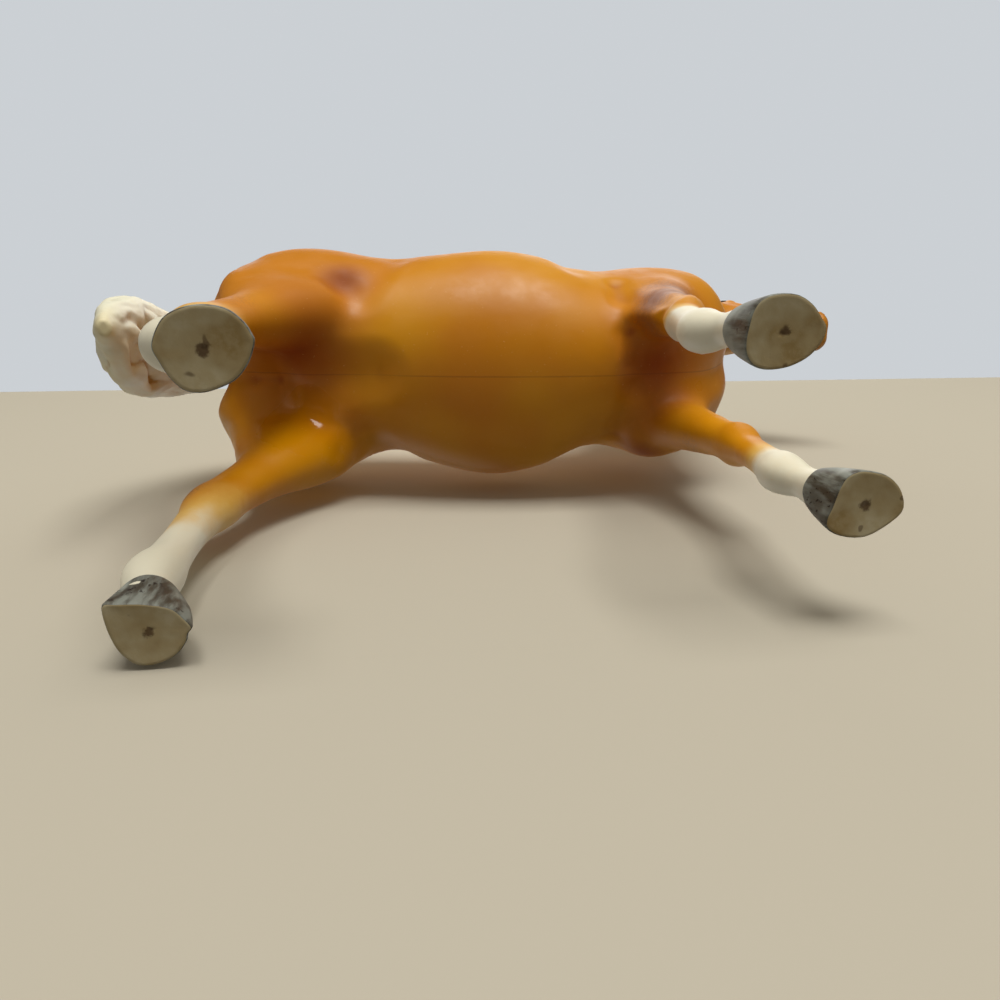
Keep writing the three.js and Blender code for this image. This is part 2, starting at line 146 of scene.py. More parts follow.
# A muscle: an egg of three half sizes, leaning by some degrees in the side view.
def egg(centre, radii, lean=0, slices=18, points=32):
    along = heading(lean)
    rings = []
    for k in range(1, slices):
        angle = math.pi * k / slices
        middle = np.array(centre, float) - along * radii[0] * math.cos(angle)
        wide, tall = radii[1] * math.sin(angle), radii[2] * math.sin(angle)
        rings.append(ovalRing(middle, across, squareTo(along), wide, tall, tall, points))
    return loft(rings)


def bothSides(centre, radii, lean=0):
    x, y, z = centre
    return [egg((x, y, z), radii, lean), egg((x, -y, z), radii, lean)]


def linked(name, data):
    made = bpy.data.objects.new(name, data)
    bpy.context.scene.collection.objects.link(made)
    return made


def meshOf(name, forms):
    points, faces = [], []
    for formPoints, formFaces in forms:
        start = sum(len(p) for p in points)
        points.append(np.array(formPoints, float))
        faces += [tuple(start + i for i in face) for face in formFaces]
    mesh = bpy.data.meshes.new(name)
    mesh.from_pydata(np.concatenate(points) * millimetre, [], faces)
    return linked(name, mesh)


def plainMesh(thing):
    bpy.context.view_layer.update()
    view = bpy.context.evaluated_depsgraph_get()
    mesh = bpy.data.meshes.new_from_object(thing.evaluated_get(view))
    bpy.data.objects.remove(thing)
    return mesh


# Closed forms that run into each other become one skin of even faces.
def fused(name, forms, voxel):
    thing = meshOf(name, forms)
    remesh = thing.modifiers.new("oneSkin", "REMESH")
    remesh.mode = "VOXEL"
    remesh.voxel_size = voxel * millimetre
    return plainMesh(thing)


# Works on a mesh, and writes the outcome back or to another mesh
def reworked(mesh, change, outcome=None):
    work = bmesh.new()
    work.from_mesh(mesh)
    change(work)
    changed = outcome or mesh
    work.to_mesh(changed)
    work.free()
    return changed


def readFrom(items, name, width, kind=float):
    values = np.empty(len(items) * width, kind)
    items.foreach_get(name, values)
    return values.reshape(-1, width)


def pointsOf(mesh):
    return readFrom(mesh.vertices, "co", 3) / millimetre


def normalsOf(mesh):
    return readFrom(mesh.vertex_normals, "vector", 3)


def setPoints(mesh, points, offset=0):
    mesh.vertices.foreach_set("co", (points * millimetre + offset).ravel())
    mesh.update()


# Smoothing that keeps thin forms full where keep is 1, and only evens the skin out where it is 0.
def relaxed(mesh, points, passes, keep):
    a, b = readFrom(mesh.edges, "vertices", 2, int).T
    total = len(points)
    neighbours = np.maximum(np.bincount(a, minlength=total) + np.bincount(b, minlength=total), 1)

    def drift(p):
        moved = np.empty_like(p)
        for axis in range(3):
            near = np.bincount(a, p[b, axis], total) + np.bincount(b, p[a, axis], total)
            moved[:, axis] = near / neighbours - p[:, axis]
        return moved

    step, back = horse["smoothing"]
    for _ in range(passes):
        points = points + step * drift(points)
        points = points - (back * keep)[:, None] * drift(points)
    return points


def distanceToPath(points, path):
    path = np.array(path, float)
    nearest = np.linalg.norm(points - path[0], axis=1)
    for start, end in zip(path[:-1], path[1:]):
        run = end - start
        t = np.clip((points - start) @ run / (run @ run), 0, 1)
        nearest = np.minimum(nearest, np.linalg.norm(points - start - t[:, None] * run, axis=1))
    return nearest


print("helpers ready")


# Body
torsoForm = {
    # share along, top, bottom, half width, height of the widest line, shift to the left
    "stations": [
        [-0.5, 0.83, 0.755, 0.12, 0.79, 0],
        [-0.485, 0.865, 0.7, 0.28, 0.785, 0],
        [-0.45, 0.9, 0.655, 0.4, 0.785, 0],
        [-0.4, 0.938, 0.62, 0.475, 0.79, 0],
        [-0.32, 0.966, 0.6, 0.505, 0.8, -0.01],
        [-0.24, 0.967, 0.59, 0.47, 0.795, -0.03],
        [-0.17, 0.955, 0.575, 0.425, 0.775, -0.043],
        [-0.08, 0.937, 0.55, 0.46, 0.745, -0.02],
        [0, 0.923, 0.532, 0.49, 0.73, -0.008],
        [0.06, 0.92, 0.525, 0.49, 0.727, -0.008],
        [0.14, 0.93, 0.52, 0.45, 0.733, -0.015],
        [0.22, 0.956, 0.526, 0.385, 0.744, -0.028],
        [0.3, 0.978, 0.538, 0.42, 0.756, -0.015],
        [0.38, 0.955, 0.56, 0.435, 0.756, 0],
        [0.43, 0.9, 0.59, 0.4, 0.75, 0],
        [0.47, 0.84, 0.635, 0.29, 0.74, 0],
        [0.5, 0.775, 0.69, 0.12, 0.733, 0],
    ],
    # muscles on both sides: place, half sizes, lean
    "muscles": [
        [(60, 19, 138), (17, 13.5, 30), 24],
        [(57, 19, 113), (14, 11, 17), 0],
        [(72, 10.5, 120), (11, 11, 16), 8],
        [(-57, 20, 138), (26, 17.5, 26), 10],
        [(-69, 22, 130), (13.5, 12, 27), 0],
    ],
}


def torsoRings():
    length, height, width = horse["bodyLength"], horse["withersHeight"], horse["barrelWidth"]
    rows = splined(torsoForm["stations"], 5) * (length, height, height, width, height, width)
    return [ovalRing(np.array([x, y, z]), across, upward, half, top - z, z - bottom)
            for x, top, bottom, half, z, y in rows]


neckForm = {
    "length": 84,
    "depth": 74,
    "width": 48,
    "angle": 54,
    "base": (58.9, 0, 145),
    # share along, depth, half width, shift, lean in degrees
    "stations": [
        [0, 0.92, 0.48, -0.04, 139],
        [0.28, 0.76, 0.385, 0, 137],
        [0.56, 0.62, 0.29, 0.02, 131],
        [0.8, 0.52, 0.24, 0.022, 125],
        [1, 0.43, 0.22, 0, 120],
    ],
}
neckWay = heading(neckForm["angle"])
poll = np.array(neckForm["base"]) + neckWay * neckForm["length"]


def neckSection(row):
    along, depth, half, shift, lean = row
    middle = np.array(neckForm["base"]) + neckWay * along * neckForm["length"]
    middle = middle + squareTo(neckWay) * shift * neckForm["length"]
    return middle, heading(lean), depth * neckForm["depth"] / 2, half * neckForm["width"]


def neckRings():
    sections = map(neckSection, splined(neckForm["stations"], 8))
    return [ovalRing(middle, across, up, half, reach, reach) for middle, up, reach, half in sections]


headForm = {
    "length": 65.5,
    "depth": 33,
    "width": 28,
    "angle": -46,
    "rise": 8.25,  # of its base above the poll
    # share along, forehead side, jaw side, half width, boxiness, pinch of the jaw
    "stations": [
        [-0.07, 0.13, 0.18, 0.16, 2, 0],
        [0, 0.3, 0.35, 0.34, 2, 0],
        [0.1, 0.37, 0.47, 0.41, 2.1, 0.1],
        [0.22, 0.4, 0.56, 0.43, 2.3, 0.25],
        [0.33, 0.385, 0.54, 0.42, 2.5, 0.35],
        [0.46, 0.335, 0.42, 0.355, 2.5, 0.3],
        [0.6, 0.3, 0.31, 0.28, 2.4, 0.2],
        [0.74, 0.275, 0.27, 0.245, 2.3, 0.1],
        [0.86, 0.27, 0.285, 0.26, 2.2, 0.1],
        [0.94, 0.25, 0.29, 0.25, 2.2, 0.1],
        [1, 0.17, 0.2, 0.17, 2, 0],
    ],
    # share along, rise, share aside, then half sizes in millimetres
    "bumps": [
        [0.2, -0.24, 0.3, (13, 5.5, 11.5)],  # cheek
        [0.29, 0.19, 0.33, (6, 3.6, 4)],  # brow
        [0.93, 0.02, 0.19, (4.6, 3.2, 4.2)],  # nostril
        [0.98, -0.1, 0.1, (4, 5, 4.5)],  # upper lip
        [0.87, -0.29, 0.06, (5, 4.6, 4)],  # lower lip
    ],
}
headWay = heading(headForm["angle"])
headUp = squareTo(headWay)
headBase = poll + upward * headForm["rise"]


def headPoint(along, rise, aside=0):
    reach = headWay * along * headForm["length"] + headUp * rise * headForm["depth"]
    return headBase + reach + across * aside * headForm["width"]


def headForms():
    rows = splined(headForm["stations"], 5)
    rows[:, 1:4] *= headForm["depth"], headForm["depth"], headForm["width"]
    forms = [loft([ovalRing(headPoint(along, 0), across, headUp, half, fore, jaw, square=square, pinch=pinch)
                   for along, fore, jaw, half, square, pinch in rows])]
    for along, rise, aside, sizes in headForm["bumps"]:
        forms += bothSides(headPoint(along, rise, aside), sizes, headForm["angle"])
    return forms


earForm = {
    "length": 20,
    "width": 10,
    "lean": 68,
    "splay": 12,
    "opening": 25,  # degrees outwards from the front
    "cup": (0.62, 1.25),  # how wide and how deep
    "points": 40,
    "seat": (0.04, 0.2, 0.27),
    # share along, width, depth, how deep the cup is
    "stations": [
        [-0.1, 0.6, 0.6, 0],
        [0, 0.72, 0.6, 0.1],
        [0.15, 0.88, 0.68, 0.5],
        [0.35, 1, 0.66, 0.75],
        [0.6, 0.84, 0.52, 0.75],
        [0.85, 0.42, 0.34, 0.5],
        [1, 0.14, 0.16, 0],
    ],
}


def earOf(side):
    lean, splay = math.radians(earForm["lean"]), math.radians(earForm["splay"])
    way = np.array([math.cos(lean), side * math.tan(splay), math.sin(lean)])
    way = way / np.linalg.norm(way)
    up = np.cross(way, across)
    up = up / np.linalg.norm(up)
    along, rise, aside = earForm["seat"]
    seat = headPoint(along, rise, side * aside)
    angle = np.arange(earForm["points"]) / earForm["points"] * 2 * math.pi
    away = np.abs((angle - math.radians(side * earForm["opening"] - 90) + math.pi) % (2 * math.pi) - math.pi)
    cupWidth, cupDepth = earForm["cup"]
    rings = []
    for place, width, depth, cup in splined(earForm["stations"], 4):
        half, reach = width * earForm["width"] / 2, depth * earForm["width"] / 2
        middle = seat + way * place * earForm["length"]
        ring = ovalRing(middle, np.cross(up, way), up, half, reach, reach, earForm["points"])
        pull = cup * np.exp(-(away / cupWidth) ** 2) * cupDepth
        rings.append(ring.mean(0) + (ring - ring.mean(0)) * (1 - pull)[:, None])
    return loft(rings)


# Legs: joint centres from the coronet up, with the middle of the sole
legForm = {
    "rootInHoof": 4,  # how far each leg's skin runs down inside its hoof
    "joints": {
        "front_left_leg": [(57.8, 15, 12.5), (57.1, 14.6, 23.9), (63.4, 15.4, 59.8), (62, 16, 96.8),
                           (60, 15.5, 119.7)],
        "front_right_leg": [(38.4, -16.6, 12.5), (36.5, -15.8, 23.9), (46, -17.5, 59.8), (54, -18.5, 96.8),
                            (58, -17.5, 119.7)],
        "hind_left_leg": [(-73.6, 32.6, 12.5), (-75.4, 31.8, 23.9), (-74, 29.3, 66.9), (-59, 24.6, 105.6),
                          (-57, 20, 132)],
        "hind_right_leg": [(-60.5, -14.4, 12.5), (-67, -13.8, 23.9), (-73, -15.5, 66.9), (-60, -17.5, 105.6),
                           (-57, -18, 132)],
    },
    "soles": {
        "front_left_leg": (60.9, 15.4),
        "front_right_leg": (41.4, -16.5),
        "hind_left_leg": (-70, 33.8),
        "hind_right_leg": (-56, -14.3),
    },
    # the cannon's width, a point of the cut that parts leg and body and the way down through it, and
    # stations: place among the joints, then front, back and half width in cannon widths
    "fore": {"cannon": 8.6, "cut": ((50, 0, 88), (0, 0, -1)), "stations": [
        [0, 0.46, 0.48, 0.44], [0.3, 0.4, 0.42, 0.38], [0.65, 0.43, 0.5, 0.43], [1, 0.5, 0.68, 0.54],
        [1.25, 0.45, 0.54, 0.45], [1.5, 0.44, 0.5, 0.42], [1.75, 0.47, 0.52, 0.45], [1.9, 0.6, 0.58, 0.6],
        [2, 0.7, 0.64, 0.7], [2.12, 0.64, 0.64, 0.64], [2.3, 0.64, 0.68, 0.62], [2.6, 0.86, 0.92, 0.78],
        [2.85, 1.08, 1.18, 0.9], [3.2, 1.38, 1.45, 1], [3.6, 1.5, 1.5, 1.05], [4, 1.45, 1.4, 1],
    ]},
    "hind": {"cannon": 10, "cut": ((-30, 0, 88), (-0.24, 0, -0.97)), "stations": [
        [0, 0.48, 0.5, 0.48], [0.3, 0.44, 0.48, 0.44], [0.65, 0.47, 0.54, 0.47], [1, 0.51, 0.66, 0.54],
        [1.25, 0.43, 0.5, 0.42], [1.5, 0.42, 0.47, 0.4], [1.75, 0.5, 0.54, 0.46], [1.9, 0.64, 0.7, 0.56],
        [2, 0.68, 0.8, 0.6], [2.1, 0.67, 0.82, 0.58], [2.2, 0.68, 0.74, 0.58], [2.4, 0.8, 0.84, 0.66],
        [2.65, 1.1, 1.12, 0.82], [2.85, 1.42, 1.5, 0.98], [3, 1.75, 1.9, 1.1], [3.4, 2.15, 2.25, 1.22],
        [4, 2.1, 2.1, 1.2],
    ]},
}


def kindOf(leg):
    return legForm["fore" if leg.startswith("front") else "hind"]


# The middle of a leg at a place among its joints: 1 is the fetlock, 2 the knee or hock, 3 the elbow or stifle
def legMiddle(leg, place):
    path = splined(legForm["joints"][leg], 20)
    return path[min(int(round(place * 20)), len(path) - 1)]


def legSkin(leg):
    cannon = kindOf(leg)["cannon"]
    rings = []
    for place, front, back, half in splined(kindOf(leg)["stations"], 5):
        middle = legMiddle(leg, place)
        rings.append(ovalRing(middle, across, forward, half * cannon, front * cannon, back * cannon, 48))
    return loft([rings[0] - upward * legForm["rootInHoof"], *rings])


def wholeHorse():
    forms = [loft(torsoRings()), loft(neckRings()), *headForms(), earOf(1), earOf(-1)]
    for place, sizes, lean in torsoForm["muscles"]:
        forms += bothSides(place, sizes, lean)
    forms += [legSkin(leg) for leg in legForm["joints"]]
    return fused("horse", forms, horse["voxel"])


skin = wholeHorse()
places = pointsOf(skin)
print("one skin:", len(places), "points")

# The trunk may smooth down freely, and legs, ears and face keep their fullness
trunkEnd = [poll @ neckWay + before for before in horse["trunkEnd"]]
trunk = eased(places[:, 2], *horse["trunk"]) * (1 - eased(places @ neckWay, *trunkEnd))
places = relaxed(skin, places, horse["bodyRelax"], 1 - trunk)
places = relaxed(skin, places, horse["fineRelax"], np.ones(len(places)))
setPoints(skin, places)
print("skin relaxed")


# Creases and swellings worked into the skin: where the path is seen from, its points, width, height
sculptStrokes = {
    "side": [
        # x and z of the points, radius, height
        [[(30, 156), (27, 138), (30, 118)], 9, -0.9],  # behind the shoulder
        [[(92, 158), (83, 142), (80, 130)], 7, -0.7],  # before the shoulder
        [[(-26, 128), (-32, 118), (-38, 110)], 9, -1.2],  # flank
        [[(-70, 152), (-73, 130), (-70, 112)], 6, -0.6],  # between the thigh's muscles
        [[(110, 190), (98, 168), (88, 148)], 7, -0.9],  # along the neck
        [[(56, 176), (74, 176), (96, 196)], 8, 0.7],
    ],
    "below": [
        # x and y of the points
        [[(88, 0), (72, 1), (56, 1), (48, 1)], 11, -2.6],  # between the fore legs
        [[(-34, 0), (-56, 2), (-76, 3)], 13, -3],  # between the thighs
        [[(43, -27), (42.5, -20), (43, -12), (45, -4)], 6, -1.5],  # behind the elbows
        [[(43.5, 21), (43, 14), (45, 5)], 6, -1.2],
        [[(-43, -27)], 8, -1.6],  # before the right thigh
        [[(-44, 24), (-40, 27)], 8, -1.2],
    ],
    "behind": [
        # y and z of the points
        [[(2, 150), (3, 128), (3, 108)], 13, -6],
    ],
    "face": [
        # share along and rise on the head
        [[(0.98, -0.14), (0.9, -0.2), (0.8, -0.19)], 1.7, -1.1],  # mouth
        [[(0.95, 0.1), (0.9, 0.03)], 2.3, -2.6],  # nostril
        [[(0.36, 0.06), (0.52, 0.0), (0.66, 0.02)], 3.2, 0.6],  # cheek bone
        [[(0.27, 0.17)], 2.6, -1.3],  # eye hollow
        [[(0.02, -0.46), (0.14, -0.6), (0.3, -0.5)], 4, 0.6],
        [[(0.04, -0.2), (0.02, -0.5)], 4, -1.2],  # behind the cheek
    ],
}


def treeOf(mesh):
    tree = bmesh.new()
    tree.from_mesh(mesh)
    made = BVHTree.FromBMesh(tree)
    tree.free()
    return made


def struck(tree, start, direction):
    hit = tree.ray_cast(Vector(start) * millimetre, Vector(direction))[0]
    return None if hit is None else np.array(hit) / millimetre


rayForm = {"beside": 120, "besideFace": 60, "below": 60, "behind": -150}


# The ray that finds a stroke's point on the skin: its start and its direction
def strokeRay(view, first, second, side):
    if view == "face":
        first, _, second = headPoint(first, second)
    return {
        "side": ((first, side * rayForm["beside"], second), (0, -side, 0)),
        "below": ((first, second, rayForm["below"]), (0, 0, 1)),
        "behind": ((rayForm["behind"], first, second), (1, 0, 0)),
        "face": ((first, side * rayForm["besideFace"], second), (0, -side, 0)),
    }[view]


def sculpted(mesh):
    points, tree = pointsOf(mesh), treeOf(mesh)
    moves = np.zeros(len(points))
    for view, strokes in sculptStrokes.items():
        sides = (1, -1) if view in ("side", "face") else (1,)
        for path, radius, height in strokes:
            for side in sides:
                hits = [struck(tree, *strokeRay(view, *row, side)) for row in splined(path, 4)]
                hits = [hit for hit in hits if hit is not None]
                if hits:
                    moves += height * eased(1 - distanceToPath(points, hits) / radius)
    return points + normalsOf(mesh) * moves[:, None]


places = sculpted(skin)
places = relaxed(skin, places, horse["lastRelax"], np.ones(len(places)))
setPoints(skin, places)
print("creases and swellings worked in")


# How hollow the skin is, from -1 to 1: how far a smoothed skin stands off it, as a share of a full depth
def hollowness(mesh, points, passes, full):
    smooth = relaxed(mesh, points, passes, np.zeros(len(points)))
    return np.clip(np.einsum("ij,ij->i", smooth - points, normalsOf(mesh)) / full, -1, 1)


def addAttribute(mesh, name, values):
    layer = mesh.attributes.new(name, "FLOAT", "POINT")
    layer.data.foreach_set("value", values.astype(np.float32))


# Where the airbrush went, and where shade is painted into hollows and shadows, in millimetres
paintForm = {
    # cream up to the first height and amber from the second, and how much higher in front and to the left
    "socks": {
        "front_left_leg": (28, 47, 0.2, 0),
        "front_right_leg": (50, 58, -0.8, 1.3),
        "hind_left_leg": (35, 72, 0.9, 0),
        "hind_right_leg": (44, 76, 0.6, 0),
    },
    # painted shade: the skin's hollows are darkened as if shade fell in them
    "hollows": (24, 1.1),  # passes of smoothing that find them, and their full depth
    # painted shadow: deeper amber in the groin, the armpits and before the right thigh, where shade falls
    "paintedShadows": [
        [(52, -4, 98), 26, 0.8],
        [(57, 12, 104), 24, 0.8],
        [(53, 24, 104), 14, 0.8],
        [(54, -14, 88), 13, 0.7],
        [(-56, -8, 104), 30, 0.8],
        [(-42, -30, 114), 14, 0.9],
        [(-62, 2, 112), 24, 0.5],
    ],
    # plum and brown round points: middle, radius, strength
    "clouds": [
        [(49, -21, 84), 15, 1.0],
        [(57, -24, 97), 14, 0.75],
        [(47, -27, 76), 11, 0.6],
        [(-82, 26, 67), 9, 0.75],
        [(-79, -12, 66), 9, 0.6],
        [(-72, -22, 84), 13, 0.4],
        [(60, 21, 78), 10, 0.4],
        [(36, 21, 112), 12, 0.2],
    ],
    # on both sides of the face: share along, rise, aside, radius, strength
    "faceClouds": [
        [0.99, -0.02, 0.2, 8, 0.5],
        [0.93, 0.04, 0.25, 3.5, 0.9],
        [0.9, -0.18, 0.25, 3, 0.5],
        [0.27, 0.17, 0.4, 5, 0.3],
    ],
    # gloss where the plastic is bare of satin paint
    "polish": [
        [(-57, 12, 102), 20, 1.0],
        [(-44, 22, 100), 14, 0.6],
        [(66, 6, 106), 12, 0.7],
    ],
}


def sprayed(points, clouds, falloff):
    laid = np.zeros(len(points))
    for middle, radius, strength in clouds:
        near = np.clip(1 - np.linalg.norm(points - np.array(middle), axis=1) / radius, 0, 1)
        laid = np.maximum(laid, strength * near ** falloff)
    return laid


def painted(mesh):
    points = pointsOf(mesh)
    x, y, z = points.T
    sock = np.zeros(len(points))
    for leg, (low, high, forwards, leftwards) in paintForm["socks"].items():
        path = splined(legForm["joints"][leg], 20)
        near = (x * path[0][0] > 0) & (y * path[0][1] > 0)
        edge = low
        for place, axis, lean in ((x, 0, forwards), (y, 1, leftwards)):
            edge = edge + lean * np.clip(place - np.interp(z, path[:, 2], path[:, axis]), -9, 9)
        sock = np.where(near, 1 - np.clip((z - edge) / (high - low), 0, 1), sock)
    addAttribute(mesh, "sock", sock)
    clouds = list(paintForm["clouds"])
    for along, rise, aside, radius, strength in paintForm["faceClouds"]:
        clouds += [[headPoint(along, rise, side * aside), radius, strength] for side in (1, -1)]
    # painted shade: how hollow the skin is, joined with the painted shadows, darkens the coat
    hollow = hollowness(mesh, points, *paintForm["hollows"])
    for name, values in (
            ("cloud", sprayed(points, clouds, 0.8)),
            ("hollow", np.maximum(hollow, sprayed(points, paintForm["paintedShadows"], 1.2))),
            ("polish", sprayed(points, paintForm["polish"], 1)),
            ("seam", y)):
        addAttribute(mesh, name, values)


painted(skin)
layer = skin.attributes.new("smoothNormal", "FLOAT_VECTOR", "POINT")
layer.data.foreach_set("vector", normalsOf(skin).ravel())
print("paint laid")


# Turn of the neck and head: how far a point moves to the horse's left, and the slope there
def turnOf(x):
    shift, slope, before = np.zeros_like(x), np.zeros_like(x), 0
    for start, degrees, length in horse["bends"]:
        after = math.tan(math.radians(degrees))
        t = np.clip((x - start) / length, 0, 1)
        shift += (after - before) * (length * t * t / 2 + np.maximum(x - start - length, 0))
        slope += (after - before) * t
        before = after
    return shift, slope


def placed(mesh):
    points = pointsOf(mesh)
    shift, slope = turnOf(points[:, 0])
    points[:, 1] += shift
    setPoints(mesh, points, np.array(bodyCentre))
    if "smoothNormal" not in mesh.attributes:
        return None
    normals = readFrom(mesh.attributes["smoothNormal"].data, "vector", 3, np.float32)
    normals[:, 0] -= slope * normals[:, 1]
    normals /= np.maximum(np.linalg.norm(normals, axis=1), 1e-9)[:, None]
    return normals


# Cuts a part of a mesh at a plane and closes it, keeping the side that the direction points away from
def trimmed(work, geometry, point, direction):
    cut = bmesh.ops.bisect_plane(work, geom=geometry, plane_co=Vector(point) * millimetre,
                                 plane_no=Vector(direction), clear_outer=True)
    rim = [e for e in cut["geom_cut"] if isinstance(e, bmesh.types.BMEdge)]
    filled = bmesh.ops.triangle_fill(work, edges=rim, use_beauty=False, normal=Vector(direction))
    for face in filled["geom"]:
        if isinstance(face, bmesh.types.BMFace):
            face.material_index = 1


def cutAway(mesh, name, point, direction):
    def cut(work):
        trimmed(work, work.verts[:] + work.edges[:] + work.faces[:], point, direction)

    return reworked(mesh, cut, bpy.data.meshes.new(name))


def keepIsland(mesh, near):
    def keep(work):
        start = min(work.verts, key=lambda v: (v.co - Vector(near) * millimetre).length_squared)
        seen, front = {start}, [start]
        while front:
            corner = front.pop()
            for edge in corner.link_edges:
                other = edge.other_vert(corner)
                if other not in seen:
                    seen.add(other)
                    front.append(other)
        bmesh.ops.delete(work, geom=[v for v in work.verts if v not in seen], context="VERTS")

    return reworked(mesh, keep)


# The skin's own normals on the outside, so that no cut shows, and flat ones on the cuts
def dressed(mesh, normals):
    mesh.shade_smooth()
    wanted = normals[readFrom(mesh.loops, "vertex_index", 1, int)[:, 0]]
    for face in mesh.polygons:
        if face.material_index == 1:
            wanted[face.loop_start:face.loop_start + face.loop_total] = face.normal
            face.material_index = 0
    mesh.normals_split_custom_set(wanted.tolist())
    return mesh


def addPiece(name, mesh, materials, node=None):
    made = linked(name, mesh)
    mesh.materials.clear()
    for material in materials:
        mesh.materials.append(material)
    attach(made, "root")
    if node:
        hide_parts(node)
    return made


# Materials. Colours are given as on a screen, from 0 to 255, and become plain light here.
def linear(colour):
    shares = [c / 255 for c in colour]
    return (*[((s + 0.055) / 1.055) ** 2.4 if s > 0.04 else s / 12.92 for s in shares], 1)


def give(socket, value):
    if isinstance(value, bpy.types.NodeSocket):
        socket.id_data.links.new(value, socket)
    elif socket.type == "RGBA" and len(value) == 3:
        socket.default_value = linear(value)
    else:
        socket.default_value = value


# A new node, with its inputs given as values or as sockets of other nodes
def wired(tree, kind, given=None, **settings):
    node = tree.nodes.new(kind)
    for name, value in settings.items():
        setattr(node, name, value)
    for key, value in (given or {}).items():
        give(node.inputs[key], value)
    return node


def newMaterial(name):
    material = bpy.data.materials.new(name)
    material.use_nodes = True
    material.node_tree.nodes.clear()
    return material, wired(material.node_tree, "ShaderNodeTexCoord").outputs["Object"]


def finished(material, colour, roughness, specular=0.5, relief=None):
    tree = material.node_tree
    surface = wired(tree, "ShaderNodeBsdfPrincipled",
                    {"Base Color": colour, "Roughness": roughness, "Specular IOR Level": specular})
    if relief:
        bump = wired(tree, "ShaderNodeBump", dict(zip(("Height", "Distance", "Strength"), relief)))
        give(surface.inputs["Normal"], bump.outputs["Normal"])
    wired(tree, "ShaderNodeOutputMaterial", {"Surface": surface.outputs["BSDF"]})
    return material


def computed(operation, first, second, clamp=False):
    tree = (first if isinstance(first, bpy.types.NodeSocket) else second).id_data
    node = wired(tree, "ShaderNodeMath", {0: first, 1: second}, operation=operation, use_clamp=clamp)
    return node.outputs[0]


def plus(first, second, clamp=False):
    return computed("ADD", first, second, clamp)


def times(first, second):
    return computed("MULTIPLY", first, second)


# How far a noise is off its middle
def swing(noise, amount):
    return times(computed("SUBTRACT", noise, 0.5), amount)


def mapped(value, low, high, outLow=0, outHigh=1):
    given = {"Value": value, "From Min": low, "From Max": high, "To Min": outLow, "To Max": outHigh}
    node = wired(value.id_data, "ShaderNodeMapRange", given, interpolation_type="SMOOTHSTEP")
    return node.outputs["Result"]


def blended(factor, first, second):
    node = wired(factor.id_data, "ShaderNodeMix", {"Factor": factor}, data_type="RGBA")
    for socket, value in zip([s for s in node.inputs if s.type == "RGBA"], (first, second)):
        give(socket, value)
    return [s for s in node.outputs if s.type == "RGBA"][0]


def cloudy(where, scale, detail, roughness=0.5):
    given = {"Vector": where, "Scale": scale, "Detail": detail, "Roughness": roughness}
    return wired(where.id_data, "ShaderNodeTexNoise", given).outputs["Fac"]


def attribute(where, name):
    return wired(where.id_data, "ShaderNodeAttribute", attribute_name=name).outputs["Fac"]


coatPaint = {
    "amber": (220, 148, 6),
    "amberDeep": (206, 127, 4),
    # painted shade: the deep red amber of creases, hollows and painted shadows
    "hollow": (146, 62, 0),
    "cream": (240, 232, 204),
    "creamWarm": (232, 184, 88),
    "plum": (140, 88, 64),
    "speck": (250, 206, 140),
    "seam": (120, 56, 4),
    # noises: scale, detail, roughness
    "broad": (22, 2),
    "fine": (160, 4, 0.6),
    "speckle": (1500, 2),
    "seamWidth": 0.32,
    "roughness": 0.42,
    "unevenness": 0.07,
    "polished": 0.12,
    "matt": 0.35,
    "specular": 0.36,
}


def coatMaterial(name):
    material, where = newMaterial(name)
    broad, fine, speck = (cloudy(where, *coatPaint[noise]) for noise in ("broad", "fine", "speckle"))
    amber = blended(mapped(broad, 0.35, 0.65), coatPaint["amber"], coatPaint["amberDeep"])
    # painted shade: hollows and painted shadows turn the amber deeper and redder
    inHollowShade = mapped(attribute(where, "hollow"), 0.02, 0.9)
    amber = blended(inHollowShade, amber, coatPaint["hollow"])
    # the sock's edge wanders with the airbrush
    sock = attribute(where, "sock")
    wander = plus(swing(broad, 0.5), swing(fine, 0.35))
    sock = plus(sock, times(wander, mapped(sock, 0, 0.15)))
    warm = blended(mapped(sock, 0.02, 0.6), amber, coatPaint["creamWarm"])
    colour = blended(mapped(sock, 0.45, 0.95), warm, coatPaint["cream"])
    # the airbrush left dots round its cloud's edge
    cloud = attribute(where, "cloud")
    grain = times(mapped(speck, 0.35, 0.65, -0.1, 0.1), mapped(cloud, 0, 0.2))
    cloud = mapped(plus(cloud, grain, True), 0.08, 0.85, 0, 0.85)
    colour = blended(cloud, colour, coatPaint["plum"])
    colour = blended(mapped(speck, 0.7, 0.76, 0, 0.3), colour, coatPaint["speck"])
    # the halves' joint, faint in the socks
    offSeam = computed("ABSOLUTE", attribute(where, "seam"), 0)
    seam = mapped(offSeam, coatPaint["seamWidth"] * 0.3, coatPaint["seamWidth"], 1, 0)
    seam = times(seam, mapped(broad, 0.38, 0.55, 0.25, 0.8))
    seam = times(seam, mapped(sock, -0.2, 0.01, 1, 0.4))
    colour = blended(seam, colour, coatPaint["seam"])
    # the painted shade in the hollows is matt, and bare plastic is glossy
    middle, uneven = coatPaint["roughness"], coatPaint["unevenness"]
    satin = mapped(fine, 0.3, 0.7, middle - uneven, middle + uneven)
    satin = plus(satin, times(inHollowShade, coatPaint["matt"]))
    bare = mapped(attribute(where, "polish"), 0.1, 0.6)
    rough = wired(bare.id_data, "ShaderNodeMix", {"Factor": bare, "A": satin, "B": coatPaint["polished"]})
    relief = (computed("SUBTRACT", fine, seam), 0.00012, 0.5)
    return finished(material, colour, rough.outputs["Result"], coatPaint["specular"], relief)


